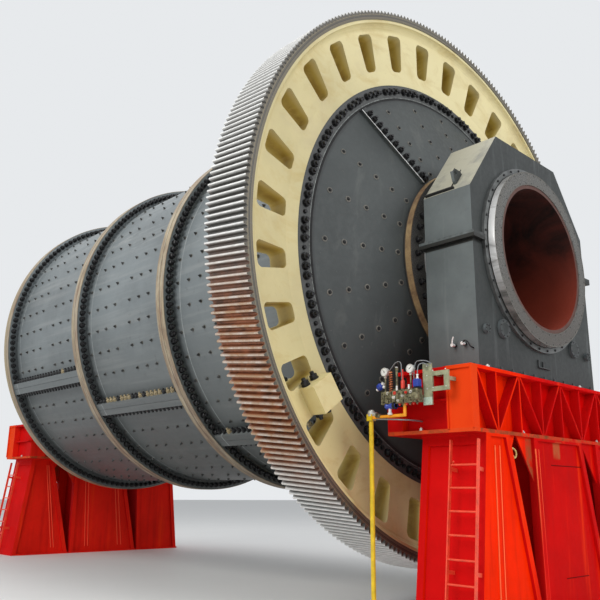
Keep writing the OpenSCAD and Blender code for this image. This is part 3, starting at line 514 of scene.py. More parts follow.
def primedLiner(v):
    # primed bore, dark in its upper part as painted shade and orange-red low at the far side as painted light
    s = Surface("linerRed")
    y, z = s.place(1), s.place(2)
    clouds = s.noise(1.0, 6.0, 0.65, distort=0.8)
    fine = s.noise(12.0, 4.0, 0.6)
    # painted light: redder towards the far (+Y) side, in patches
    litFarSide = s.both(s.span(clouds, 0.38, 0.62), s.span(y, -0.7, 0.5, (0.25, 1.0)))
    color = s.mix(litFarSide, v["dark"], v["red"])
    # painted light: orange-red low on the far side
    farLowLight = s.maths("SUBTRACT", s.both(y, 0.75), s.maths("SUBTRACT", z, axisHeight))
    farLowLight = s.maths("ADD", farLowLight, s.both(clouds, 0.8))
    color = s.mix(s.span(farLowLight, 0.7, 1.7), color, v["orange"])
    lip = s.both(s.facing(0, 0.8, 0.95), s.span(s.away(0), 7.0, 7.1))
    color = s.mix(lip, color, v["lip"])
    return s.finish(color, s.span(fine, 0.3, 0.7, (0.5, 0.7)), 0.0, s.bump(fine, 0.2, 0.006),
                    Specular_IOR_Level=0.3)


housingFinish = {
    "side": (0.112, 0.130, 0.134), "face": (0.030, 0.034, 0.033), "run": (0.30, 0.32, 0.32),
    "speck": (0.04, 0.042, 0.042), "thinDustAndLight": (0.20, 0.205, 0.185), "dust": (0.35, 0.34, 0.27),
    "shadow": (0.014, 0.015, 0.014), "edge": (0.03, 0.032, 0.032), "dustFrom": (6.0, 6.2),
    "slopeNormal": (0.57, 0.64), "shadowZ": (5.30, 5.408), "edgeZ": (5.412, 5.47)}


def paintedHousing(v):
    # grey paint, darker on the faces square to the mill's axis as painted shade, dusty on the slopes with
    # painted light from above
    s = Surface("housingPaint")
    z, up = s.place(2), s.normalPart(2)
    clouds = s.noise(1.1, 5.0, 0.6)
    fine = s.noise(14.0, 5.0, 0.6)
    runs = s.noise(2.2, 5.0, 0.6, stretch=(2.5, 2.5, 0.22))
    patches = s.noise(2.2, 6.0, 0.7)
    # painted shade: faces square to the mill's axis get a much darker grey
    grey = s.mix(s.facing(0), v["side"], v["face"])
    cloudy = s.mix(s.span(clouds, 0.35, 0.65), (0.82,) * 3, (1.16,) * 3)
    color = s.mix(1.0, grey, cloudy, "MULTIPLY")
    color = s.mix(s.span(runs, 0.56, 0.78, (0.0, 0.28)), color, v["run"])
    color = s.mix(s.span(fine, 0.64, 0.8, (0.0, 0.25)), color, v["speck"])
    # slopes facing up: pale dust, and painted light from above
    slopes = s.either(s.band(up, *v["slopeNormal"], 0.01), s.span(up, 0.9, 0.97))
    dustAndLight = s.mix(s.span(patches, 0.30, 0.50), v["thinDustAndLight"], v["dust"])
    color = s.mix(s.both(slopes, s.span(z, *v["dustFrom"])), color, dustAndLight)
    color = s.mix(s.band(z, *v["shadowZ"], 0.004), color, v["shadow"])
    worn = s.both(s.band(z, *v["edgeZ"], 0.004), s.span(fine, 0.35, 0.6, (0.0, 0.5)))
    color = s.mix(worn, color, v["edge"])
    return s.finish(color, s.span(fine, 0.3, 0.7, (0.40, 0.55)), 0.0, s.bump(s.noise(3.0, 4.0), 0.12, 0.015),
                    Specular_IOR_Level=0.3)


standFinish = {
    "side": (0.62, 0.006, 0.006), "litNearFace": (0.92, 0.022, 0.0), "face": (0.60, 0.002, 0.0015),
    "feedFace": (0.86, 0.018, 0.009), "girder": (0.78, 0.055, 0.008), "run": (0.42, 0.006, 0.006),
    "brightRun": (0.98, 0.060, 0.008), "speck": (0.22, 0.012, 0.008), "edgeRed": (0.62, 0.06, 0.02),
    "edgeRust": (0.20, 0.055, 0.02), "brown": (0.36, 0.065, 0.025), "bare": (0.46, 0.10, 0.035),
    "flange": (0.66, 0.075, 0.020), "girderFoot": 2.43, "brownY": (-1.13, -0.97),
    "bareY": (-0.34, -0.14), "bareZ": (2.16, 2.40)}


def paintedStand(v):
    # deep red on the sides, orange-red on the near end's face as painted light, rust on the girder's lower edge
    s = Surface("standRed")
    x, y, z = (s.place(k) for k in range(3))
    foot = v["girderFoot"]
    clouds = s.noise(0.9, 5.0, 0.6)
    fine = s.noise(18.0, 5.0, 0.6)
    runs = s.noise(1.8, 5.0, 0.6, stretch=(3.0, 3.0, 0.18))
    worn = s.noise(4.0, 6.0, 0.7)
    face = s.facing(0, 0.5, 0.8)
    # painted light: the near stand's face gets a lit orange-red
    litNearEnd = s.both(s.span(y, -0.95, -1.30), s.span(x, 4.0, 5.0))
    faceColor = s.mix(litNearEnd, v["face"], v["litNearFace"])
    faceColor = s.mix(s.span(x, -4.0, -5.0), faceColor, v["feedFace"])
    shade = s.mix(s.span(clouds, 0.35, 0.65), (0.84,) * 3, (1.06,) * 3)
    color = s.mix(1.0, s.mix(face, v["side"], faceColor), shade, "MULTIPLY")
    color = s.mix(s.span(runs, 0.52, 0.75, (0.0, 0.5)), color, v["run"])
    color = s.mix(s.both(s.span(runs, 0.44, 0.28, (0.0, 0.45)), face), color, v["brightRun"])
    color = s.mix(s.span(fine, 0.66, 0.8, (0.0, 0.4)), color, v["speck"])
    flat = s.span(s.maths("ABSOLUTE", s.normalPart(2)), 0.3, 0.5, (1.0, 0.0))
    edge = s.both(s.band(z, foot, foot + 0.052), flat)
    rusty = s.mix(s.span(worn, 0.42, 0.62), v["edgeRed"], v["edgeRust"])
    color = s.mix(s.both(edge, s.span(worn, 0.36, 0.5)), color, rusty)
    brown = s.both(s.band(y, *v["brownY"], 0.02), s.both(face, s.span(z, 1.2, 1.9)))
    brown = s.both(s.both(brown, s.span(worn, 0.36, 0.56)), s.span(z, foot, foot - 0.03))
    color = s.mix(brown, color, v["brown"])
    bare = s.both(s.band(y, *v["bareY"], 0.02), s.band(z, *v["bareZ"], 0.02))
    bare = s.both(s.both(bare, face), s.span(worn, 0.30, 0.52, (0.35, 0.9)))
    color = s.mix(bare, color, v["bare"])
    sideX, sideY = s.away(0), s.away(1)
    column = s.both(s.span(sideX, 7.030, 7.036), s.span(sideY, 2.33, 2.34))
    column = s.both(column, s.span(z, foot, foot + 0.01))
    color = s.mix(s.both(column, s.span(clouds, 0.25, 0.5, (0.6, 1.0))), color, v["girder"])
    flangeEdge = s.both(edge, s.span(sideY, 2.40, 2.43))
    color = s.mix(s.both(flangeEdge, s.span(worn, 0.55, 0.40, (0.3, 0.9))), color, v["flange"])
    return s.finish(color, s.span(fine, 0.3, 0.7, (0.42, 0.56)), 0.0, s.bump(s.noise(5.0, 4.0), 0.12, 0.01),
                    Specular_IOR_Level=0.02)


highlightFinish = {"orange": (1.0, 0.17, 0.055), "shadedLow": (0.80, 0.018, 0.008), "inner": (1.0, 0.095, 0.045)}


def paintedEdgeHighlights(v):
    # painted highlights on the edges of the stands' strips: orange in front, fading into shade low on the
    # middle stand, redder inside
    s = Surface("edgeHighlight")
    middleLowShade = s.both(s.span(s.place(2), 2.1, 0.9), s.span(s.place(1), -1.25, -1.05))
    color = s.mix(middleLowShade, v["orange"], v["shadedLow"])
    color = s.mix(s.span(s.away(0), 6.50, 6.46), color, v["inner"])
    return s.finish(color, 0.6, 0.0, Specular_IOR_Level=0.1)


def plainPaint(name, color, rough=0.4, metallic=0.0, grain=20.0, depth=0.002, spread=(0.8, 1.15), **uniform):
    # one colour with fine wear
    s = Surface(name)
    fine = s.noise(grain, 4.0, 0.6)
    mixed = s.shades(s.span(fine, 0.3, 0.7), color, *spread)
    return s.finish(mixed, s.span(fine, 0.3, 0.7, (rough - 0.06, rough + 0.08)), metallic,
                    s.bump(fine, 0.12, depth), **uniform)


materials = {
    "shell_paint": paintedShell(shellFinish),
    "head_paint": paintedHead(headFinish),
    "gear_cream": castCream(castFinish),
    "gear_steel": toothSteel(toothFinish),
    "journal_steel": journalSteel(journalFinish),
    "liner_red": primedLiner(linerFinish),
    "housing_paint": paintedHousing(housingFinish),
    "seal_paint": plainPaint("sealGrey", (0.105, 0.110, 0.108), 0.36, 0.35, 6.0, 0.004, (0.6, 1.5)),
    "bush_brass": plainPaint("bushBronze", (0.50, 0.34, 0.14), 0.35, 0.9, 30.0),
    "stand_red": paintedStand(standFinish),
    "board_paint": plainPaint("boardGrey", (0.30, 0.31, 0.19), 0.5, 0.0, 12.0, 0.003, (0.6, 1.35)),
    "valve_blue": plainPaint("valveBlue", (0.016, 0.050, 0.36), 0.35, 0.0, 40.0, Coat_Weight=0.3),
    "dial_white": plainPaint("dialCase", (0.62, 0.62, 0.58), 0.3, 0.5, 40.0),
    "pipe_yellow": plainPaint("pipeYellow", (0.80, 0.55, 0.012), 0.4, 0.0, 8.0, 0.002, (0.75, 1.12)),
    "pipe_orange": plainPaint("pipeOrange", (0.90, 0.34, 0.012), 0.4, 0.0, 12.0),
    "manifold_olive": plainPaint("manifoldOlive", (0.120, 0.110, 0.065), 0.5, 0.4, 26.0, 0.006, (0.2, 2.6)),
    "ladder_red": plainPaint("ladderRed", (0.82, 0.070, 0.028), 0.45, 0.0, 9.0, 0.002, (0.8, 1.15)),
}
blackNut = plainPaint("blackNut", (0.016, 0.016, 0.017), 0.38, 0.5, 30.0, 0.002, (0.5, 2.2))
boltGrey = plainPaint("boltGrey", (0.040, 0.042, 0.042), 0.42, 0.4, 9.0, 0.002, (0.2, 3.2))
goldNut = plainPaint("goldNut", (0.37, 0.30, 0.18), 0.45, 0.4, 30.0, 0.002, (0.6, 1.3))
paleMetal = plainPaint("paleMetal", (0.62, 0.61, 0.57), 0.4, 0.35, 40.0)
whitePaint = plainPaint("whitePaint", (0.80, 0.80, 0.78), 0.45, 0.0, 30.0)
# black for bolts and bars, and painted shade in the head's groove and the trunnion face's holes
blackAndShade = plainPaint("blackAndShade", (0.010, 0.010, 0.010), 0.8, 0.0, 20.0)
rustyRing = plainPaint("rustyRing", (0.100, 0.094, 0.080), 0.6, 0.1, 25.0, 0.003, (0.45, 1.8))
paintRed = plainPaint("fittingRed", (0.70, 0.045, 0.025), 0.4, 0.0, 30.0)
copper = plainPaint("copper", (0.55, 0.20, 0.09), 0.32, 0.85, 40.0)
greyPipe = plainPaint("greyPipe", (0.22, 0.23, 0.24), 0.4, 0.3, 30.0)
paleGreen = plainPaint("paleGreen", (0.42, 0.52, 0.42), 0.5, 0.0, 20.0)
edgeHighlight = paintedEdgeHighlights(highlightFinish)
seamRed = plainPaint("seamRed", (0.17, 0.004, 0.003), 0.7, 0.0, 20.0, Specular_IOR_Level=0.05)
hookPaint = plainPaint("hookPaint", (0.60, 0.42, 0.14), 0.5, 0.2, 20.0)
lipGrey = plainPaint("lipGrey", (0.20, 0.21, 0.20), 0.5, 0.2, 16.0, 0.003, (0.35, 1.6))
coverPaint = plainPaint("coverPaint", (0.036, 0.040, 0.040), 0.5, 0.0, 10.0, 0.003, (0.7, 1.5))

ownFinish = {"discharge_head": "head_paint", "feed_head": "head_paint", "lube_pipes": "pipe_orange",
             "lube_manifold": "manifold_olive", "discharge_ladder": "ladder_red", "feed_ladder": "ladder_red"}
for subpart in frame["record"]["subparts"]:
    nodeName = subpart["node"]
    mesh = nodes[nodeName].data
    mesh.materials.clear()
    mesh.materials.append(materials[ownFinish.get(nodeName, subpart["material_slot"])])
print("materials assigned")


# fasteners
def nutShape(across, height, studOut=0.0, washer=1.12):
    # washer, chamfered hexagon nut and the end of its stud, standing on Z = 0
    radius = across / math.sqrt(3)
    shapes = [prism(20, radius * washer, -0.004, height * 0.14),
              prism(6, radius, height * 0.14, height * 0.86, math.pi / 6),
              prism(6, radius, height * 0.86, height, math.pi / 6, top=radius * 0.86)]
    if studOut:
        shapes.append(prism(10, radius * 0.56, height * 0.9, height + studOut, top=radius * 0.5))
    return merged(shapes)


def around(count, x, radius, way=1, shift=0.0):
    # places all round the drum that face along X; shift moves them by a share of their spacing
    angles = [360.0 * (i + shift) / count for i in range(count)]
    return [place(onDrum(x, radius, a), (way, 0, 0), outward(a)) for a in angles]


# nuts are (across the flats, height, length of the stud's end, washer's share of the nut's radius)
ringBolts = {"joints": (-5.24, -1.65, 1.65, 5.24), "flange": 0.122, "radius": 3.61, "middleCount": 168,
             "endCount": 156, "nut": (0.092, 0.08, 0.05)}


def addRingBolts(v):
    nut = nutShape(*v["nut"])
    end = v["joints"][-1]
    for number, x in enumerate(v["joints"]):
        count = v["endCount"] if abs(x) == end else v["middleCount"]
        places = []
        for side in (-1, 1):
            if abs(x + side * v["flange"]) <= end:
                places += around(count, x + side * v["flange"], v["radius"], side, 0.5)
        addPiece("ring_bolts_" + str(number + 1), "drum", blackNut, [placed(nut, places)])


addRingBolts(ringBolts)

shellBolts = {"radius": 3.5, "rows": 48, "firstRow": -113.6, "across": 0.045, "height": 0.030,
              "feed": (-4.84, -4.48, -4.12, -3.756, -3.104, -2.733, -2.36),
              "middle": (-1.385, -1.02, -0.67, -0.31, 0.245, 0.595, 0.935),
              "discharge": (1.93, 2.275, 2.62, 2.965, 3.50, 3.845, 4.19),
              "joints": {"feed": -112.0, "middle": -125.0, "discharge": -141.0}, "keepOff": 4.6}


def addShellBolts(v):
    # liner bolts in lengthwise rows, left out where a joint of the can lies
    radius, height = v["across"] / math.sqrt(3), v["height"]
    head = merged([prism(6, radius, 0.0, height, 0.3, top=radius * 0.9),
                   prism(8, v["across"] * 0.26, height * 0.9, height + 0.018)])
    washer = prism(20, v["across"] * 0.80, -0.006, 0.006, top=v["across"] * 0.72)
    for can, joint in v["joints"].items():
        spots = []
        for i in range(v["rows"]):
            a = v["firstRow"] + 360.0 * i / v["rows"]
            if abs((a - joint + 90.0) % 180.0 - 90.0) >= v["keepOff"]:
                spots += [place(onDrum(x, v["radius"], a), outward(a), lengthwise) for x in v[can]]
        addPiece(can + "_liner_bolts", "drum", boltGrey, [placed(head, spots)])
        addPiece(can + "_liner_washers", "drum", rustyRing, [placed(washer, spots)])


addShellBolts(shellBolts)

jointNuts = {"radius": 3.60, "face": 0.133, "spacing": 0.14, "margin": 0.1, "nut": (0.075, 0.06, 0.04),
             "feed": (-5.118, -1.772), "middle": (-1.528, 1.528), "discharge": (1.772, 5.118),
             "plated": {"feed": 0.07, "middle": 0.5, "discharge": 0.15}}


def addJointNuts(v, joints):
    # bolts through the pairs of lengthwise bars, some plated and some black
    nut = nutShape(*v["nut"])
    for can, share in v["plated"].items():
        low, high = v[can]
        count = int((high - low - 2 * v["margin"]) / v["spacing"]) + 1
        start = 0.5 * (low + high) - 0.5 * (count - 1) * v["spacing"]
        black, plated = [], []
        for a in (joints[can], joints[can] + 180.0):
            for side in (-1, 1):
                for i in range(count):
                    spot = place(onDrum(start + i * v["spacing"], v["radius"], a, side * v["face"]),
                                 side * along(a), outward(a))
                    (plated if random.random() < share and side > 0 else black).append(spot)
        addPiece(can + "_joint_nuts", "drum", blackNut, [placed(nut, black)])
        addPiece(can + "_plated_nuts", "drum", goldNut, [placed(nut, plated)])


addJointNuts(jointNuts, shellBolts["joints"])
print("shell bolts added")

headBand = {"face": 5.35, "radius": 3.598, "count": 156, "nut": (0.104, 0.062, 0.032, 1.16),
            "smallNut": (0.0572, 0.0372), "innerEdge": 3.474, "lip": 0.018, "grooveShadeWidth": 0.036,
            "coneRise": 0.52, "coneOuter": 3.47, "coneInner": 1.75}
coneSlope = headBand["coneRise"] / (headBand["coneOuter"] - headBand["coneInner"])


def coneX(r):
    return headBand["face"] + (headBand["coneOuter"] - r) * coneSlope


def onCone(radius, degrees, rise=0.0, sideways=0.0):
    # place on a head's cone, facing straight out of it
    normal = np.array([1.0, 0, 0]) + coneSlope * outward(degrees)
    return place(onDrum(coneX(radius) + rise, radius, degrees, sideways), normal, along(degrees))


def addHeadBand(v):
    # three large nuts and a small one all round, the ring inside them, and a dark ring in the groove inside
    # that as painted shade
    spots = around(v["count"], v["face"], v["radius"], 1, 0.5)
    nuts = [placed(nutShape(*v["nut"]), [p for i, p in enumerate(spots) if i % 4 != 3]),
            placed(nutShape(*v["smallNut"]), spots[3::4])]
    r, face = v["innerEdge"], v["face"]
    lip = turned([(r, face - 0.002), (r + v["lip"], face - 0.002), (r + v["lip"] - 0.003, face + 0.006),
                  (r + 0.003, face + 0.006)])
    outer = r - 0.004
    inner = outer - v["grooveShadeWidth"]
    # painted shade: a near-black ring laid over the groove
    groove = turned([(outer, coneX(r) - 0.01), (outer, coneX(outer) + 0.002), (inner, coneX(inner) + 0.002),
                     (inner, coneX(inner) - 0.01)])
    addAtBothEnds("drum", [("_band_nuts", "seal_paint", blackNut, nuts),
                           ("_band_lip", "seal_paint", lipGrey, [lip]),
                           ("_band_groove_shade", "seal_paint", blackAndShade, [groove])])


addHeadBand(headBand)

headBolts = {"rows": 24, "radii": (3.22, 2.89, 2.56, 2.23, 1.93), "keepOff": 0.2, "washer": 0.052,
             "across": 0.05, "jointAngle": -42.0, "jointSideways": 0.068, "barRise": 0.06,
             "jointRadii": (3.32, 3.20, 3.07, 2.94, 2.80, 2.67, 2.54, 2.40, 2.26, 2.13, 2.00, 1.91),
             "jointNut": (0.085, 0.07, 0.03, 1.2), "edgeRadii": (1.885, 3.445), "edgeWidth": 0.013}


def addHeadBolts(v):
    # liner bolts in rows down the cone, big nuts on the joint bars and the bright edge of their parting
    r = v["washer"]
    washer = lathe([(r * 0.50, 0.0), (r, 0.0), (r * 0.94, 0.006), (r * 0.50, 0.008)], 24)
    bolt = merged([prism(14, r * 0.60, -0.004, 0.0095), prism(6, v["across"] * 0.40, 0.008, 0.024)])
    nut = nutShape(*v["jointNut"])
    low, high = v["edgeRadii"]
    length = math.hypot(high - low, coneX(high) - coneX(low))
    edge = box((0.0, 0.0, -0.005), (v["edgeWidth"], length, 0.005), 0.001)
    spots, nuts, edges = [], [], []
    for i in range(v["rows"]):
        a = 360.0 * i / v["rows"]
        off = abs(math.sin(math.radians(a - v["jointAngle"])))
        spots += [onCone(radius, a) for radius in v["radii"] if radius * off > v["keepOff"]]
    for a in (v["jointAngle"], v["jointAngle"] + 180.0):
        nuts += [onCone(radius, a, v["barRise"], v["jointSideways"]) for radius in v["jointRadii"]]
        edges.append(onCone(low, a, v["barRise"]))
    addAtBothEnds("drum", [("_head_washers", "seal_paint", rustyRing, [placed(washer, spots)]),
                           ("_head_bolts", "seal_paint", blackAndShade, [placed(bolt, spots)]),
                           ("_head_joint_nuts", "seal_paint", blackNut, [placed(nut, nuts)]),
                           ("_head_joint_edge", "seal_paint", whitePaint, [placed(edge, edges)])])


addHeadBolts(headBolts)
print("head bolts added")

# edges are (inner radius, outer radius, how far it stands out)
trunnionBolts = {"flangeX": 6.0, "radius": 1.66, "count": 44, "nut": (0.085, 0.06, 0.03), "faceX": 7.31,
                 "holeRadii": (1.283, 1.437), "holeCount": 40, "holeSize": 0.013, "holeDepth": 0.01,
                 "edges": ((1.252, 1.262, 0.003), (1.452, 1.4695, 0.002))}


def addTrunnionBolts(v):
    # nuts round the trunnion's flange, dark discs in the holes near both edges of its end face as painted
    # shade, and those edges
    x, size, depth = v["faceX"], v["holeSize"], v["holeDepth"]
    nut = nutShape(*v["nut"])
    # painted shade: a near-black disc in each hole
    plug = lathe([(0.0015, 0.0005), (size, 0.0005), (size, -depth), (0.0015, -depth)], 14)
    holes = []
    for k, radius in enumerate(v["holeRadii"]):
        holes += around(v["holeCount"], x, radius, 1, 0.5 * k)
    edges = [turned([(r0, x - depth), (r0, x + out), (r1, x + out), (r1, x - depth)])
             for r0, r1, out in v["edges"]]
    nuts = around(v["count"], v["flangeX"], v["radius"])
    addAtBothEnds("drum", [("_trunnion_nuts", "journal_steel", blackNut, [placed(nut, nuts)]),
                           ("_face_holes", "journal_steel", blackAndShade, [placed(plug, holes)]),
                           ("_face_edges", "journal_steel", rustyRing, edges)])


addTrunnionBolts(trunnionBolts)

gearBlocks = {"angles": (-125.2, 54.8), "halfWidth": 0.215, "boltRadii": (4.12, 4.32),
              "boltX": (5.49, 4.87), "nut": (0.105, 0.07, 0.045)}


def addGearBlockBolts(v):
    # bolts through the blocks that hold the two halves of the casting together
    nut = nutShape(*v["nut"])
    spots = [place(onDrum(x, radius, a, side * v["halfWidth"]), side * along(a), outward(a))
             for a in v["angles"] for side in (-1, 1) for x in v["boltX"] for radius in v["boltRadii"]]
    addPiece("gear_joint_bolts", "drum", blackNut, [placed(nut, spots)])


addGearBlockBolts(gearBlocks)
print("gear and trunnion bolts added")

# rows of nuts are (first, last, count), covers are (Y, Z, radius, screws),
# and tabs are (how far they stand out, then Y and Z of two corners)
housing = {"face": 7.14, "foot": 3.33, "halfWidth": 1.81, "flange": 0.05, "out": 0.07,
           "nut": (0.055, 0.045, 0.03), "sideNuts": (6.33, 7.08, 5), "frontNuts": (-1.6, 1.6, 11),
           "tabs": ((0.022, -0.125, 3.60, -0.105, 3.715), (0.022, 0.020, 3.60, 0.040, 3.700),
                    (0.030, -0.125, 3.585, 0.225, 3.603)),
           "sealRadius": 1.52, "sealFace": 7.19, "sealBack": 6.22, "sealCount": 36, "shoulder": 0.81,
           "capHeight": 1.92, "capHalfTop": 0.97, "barX": 6.30, "barLength": 0.545, "barUp": 0.035,
           "covers": ((1.12, 4.055, 0.145, 8), (1.60, 3.985, 0.070, 6)), "coverFace": 7.185}


def addHousingPieces(v):
    # hold-down nuts, seal ring screws, cover rims and screws, and the bar under each plate of the cap
    face, z = v["face"], v["foot"] + v["flange"]
    y = v["halfWidth"] + v["out"] * 0.5
    nut = nutShape(*v["nut"])
    down = [place((x, side * y, z), upright, lengthwise)
            for side in (-1, 1) for x in np.linspace(*v["sideNuts"])]
    down += [place((face + v["out"] * 0.5, w, z), upright, (0, 1, 0)) for w in np.linspace(*v["frontNuts"])]
    tabs = [box((face - 0.004, y0, z0), (face + out, y1, z1), 0.003) for out, y0, z0, y1, z1 in v["tabs"]]
    screw = merged([prism(16, 0.020, -0.004, 0.016, top=0.018), prism(6, 0.009, 0.015, 0.017)])
    seal = around(v["sealCount"], v["sealFace"], v["sealRadius"], 1, 0.5)
    seal += around(v["sealCount"], v["sealBack"], v["sealRadius"], -1, 0.5)
    rims, screws = [], []
    for y0, z0, r, count in v["covers"]:
        rim = lathe([(r * 0.60, -0.004), (r * 0.68, 0.005), (r * 0.995, 0.005), (r, 0.0),
                     (r * 0.99, -0.01)], 48)
        for side in (-1, 1):
            centre = np.array([v["coverFace"], side * y0, z0])
            rims.append(setAt(rim, centre, lengthwise, upright))
            for i in range(count):
                a = math.tau * (i + 0.5) / count
                spot = centre + np.array([0.004, r * 0.82 * math.sin(a), r * 0.82 * math.cos(a)])
                screws.append(place(spot, lengthwise, upright))
    small = prism(6, 0.0095, 0.0, 0.010, top=0.009)
    slope = math.atan2(v["capHeight"] - v["shoulder"], v["halfWidth"] - v["capHalfTop"])
    bar = box((0.0, -0.014, -0.006), (v["barLength"], 0.014, 0.045), 0.004)
    bars = []
    for side in (-1, 1):
        start = np.array([v["barX"], side * v["halfWidth"], axisHeight + v["shoulder"]])
        up = np.array([0.0, -side * math.cos(slope), math.sin(slope)])
        bars.append(setAt(bar, start + up * v["barUp"], (0.0, side * math.sin(slope), math.cos(slope))))
    addAtBothEnds("base", [("_foot_nuts", "housing_paint", coverPaint, [placed(nut, down)] + tabs),
                           ("_seal_screws", "seal_paint", blackNut, [placed(screw, seal)]),
                           ("_cover_rims", "housing_paint", coverPaint, rims),
                           ("_cover_screws", "housing_paint", blackNut, [placed(small, screws)]),
                           ("_hatch_bars", "housing_paint", blackAndShade, bars)])


addHousingPieces(housing)
print("housing pieces added")

# strips and lines are (Y at the top, Y at the foot, then width or the X of the face)
stands = {"panel": 7.40, "low": 0.16, "high": 2.275, "edge": 0.018, "innerPanel": 6.44,
          "strips": ((-1.903, -1.968, 0.10), (1.903, 1.968, 0.10)),
          "lines": ((-0.948, -0.920, 7.44), (-0.792, -0.757, 7.40)),
          "innerLines": ((-1.77, -1.45), (-1.72, -1.37), (-0.62, -0.47), (-0.53, -0.38), (0.27, 0.54),
                         (0.35, 0.65)),
          "seams": ((-0.44, 0.62, 2.06), (-0.22, 0.47, 0.47)), "columnX": (7.020, 7.034), "columnY": 2.35,
          "columnZ": (2.482, 3.278), "nut": (0.045, 0.03, 0.012), "boltZ": 2.48, "topBoltZ": 3.33,
          "frontBolts": (-2.44, -1.13, -0.54, 0.62, 1.22, 2.44), "topBolts": (-2.02, 0.717, 2.02)}


def standStrip(v, top, foot, left, right, x, out):
    # flat strip up a stand's front face, following its lean
    verts, faces = box((0, 0, 0), (1, 1, 1))
    share, root = verts[:, 2].copy(), 0.003 * np.sign(out)
    verts[:, 0] = x - root + verts[:, 0] * (out + root)
    verts[:, 1] = foot + (top - foot) * share + left + verts[:, 1] * (right - left)
    verts[:, 2] = v["low"] + share * (v["high"] - v["low"])
    return verts, faces


def addStandTrim(v):
    # narrow raised strips up the stands' front panels, thin bright lines on their edges and other edges as
    # painted highlights, and bolts on the girder's plates
    strips, lines = [], []
    panel, edge = v["panel"], v["edge"]
    for top, foot, width in v["strips"]:
        half = width / 2
        strips.append(standStrip(v, top, foot, -half, half, panel, 0.010))
        lines.append(standStrip(v, top, foot, -half - edge, -half, panel, 0.012))
        lines.append(standStrip(v, top, foot, half, half + edge, panel, 0.012))
    half = edge / 2
    lines += [standStrip(v, top, foot, -half, half, x, 0.010) for top, foot, x in v["lines"]]
    lines += [standStrip(v, top, foot, -half, half, v["innerPanel"], -0.010) for top, foot in v["innerLines"]]
    (x0, x1), (z0, z1) = v["columnX"], v["columnZ"]
    lines += [box((x0, y - half, z0), (x1, y + half, z1), 0.003) for y in (-v["columnY"], v["columnY"])]
    seams = [box((panel - 0.003, y0, z - 0.007), (panel + 0.006, y1, z + 0.007), 0.002)
             for y0, y1, z in v["seams"]]
    spots = [(7.37, y, v["boltZ"]) for y in v["frontBolts"]]
    spots += [(x, y, v["boltZ"]) for x in (6.12, 6.55) for y in (-2.44, 2.44)]
    spots += [(7.40, y, v["topBoltZ"]) for y in v["topBolts"]]
    bolts = placed(nutShape(*v["nut"]), [place(spot, upright, lengthwise) for spot in spots])
    addAtBothEnds("base", [("_stand_strips", "stand_red", materials["stand_red"], strips),
                           ("_strip_edge_highlights", "stand_red", edgeHighlight, lines),
                           ("_stand_seams", "stand_red", seamRed, seams),
                           ("_girder_bolts", "stand_red", paleMetal, [bolts])])


addStandTrim(stands)

hook = {"start": (7.41, -1.66, 2.25), "tube": 0.013,
        "bends": ((0.11, 0.005), (0.165, -0.002), (0.208, -0.030), (0.220, -0.070), (0.200, -0.112),
                  (0.160, -0.122), (0.132, -0.095))}


def addHook(v):
    # small pale hook welded to the near stand's edge, in the gap beside it
    x, y, z = v["start"]
    path = [v["start"]] + [(x + 0.006, y + across, z + rise) for across, rise in v["bends"]]
    addPiece("gap_hook", "base", hookPaint, [tube(path, v["tube"], 10, 5)])


addHook(hook)

sideFittings = {"wall": -1.81, "unions": ((6.75, 3.748), (6.925, 3.754)),
                "stay": ((6.888, -2.27, 1.949), (7.032, -2.395, 2.053))}


def addSideFittings(v):
    # pale oil fittings on the bearing housing's near side, and the short stay beside the ladder
    wall = v["wall"]
    at = [place((x, wall + 0.005, z), nearSide, lengthwise) for x, z in v["unions"]]
    (x0, z0), (x1, z1) = v["unions"]
    y = wall - 0.085
    pale = [placed(knob([(0.020, 0.03), (0.020, 0.075), (0.026, 0.078), (0.026, 0.10)], 18), at),
            tube([(x0, y, z0 + 0.005), (x0 + 0.01, y - 0.004, z0 + 0.07), (x0 + 0.03, y - 0.004, z0 + 0.12)],
                 0.010, 10, 4)]
    dark = [placed(prism(6, 0.032, 0.0, 0.035), at),
            tube([(x1, y, z1), (x1 + 0.05, y - 0.004, z1 + 0.035), (x1 + 0.10, y - 0.002, z1),
                  (x1 + 0.125, y + 0.02, z1 - 0.06), (x1 + 0.130, wall + 0.01, z1 - 0.075)], 0.011, 10, 5)]
    addPiece("oil_fittings", "base", whitePaint, pale)
    addPiece("oil_unions", "base", blackNut, dark)
    addPiece("ladder_stay", "base", materials["ladder_red"], [tube(v["stay"], 0.012, 8, 3)])


addSideFittings(sideFittings)
print("stand trim added")

pipeY = -2.73  # the lubrication pipes stand in this plane
dials = {"radius": 0.059, "front": -2.755, "x": (6.165, 6.620), "z": 3.31, "needles": (38.0, -52.0),
         "ticks": 21, "tickAngle": 13.5}


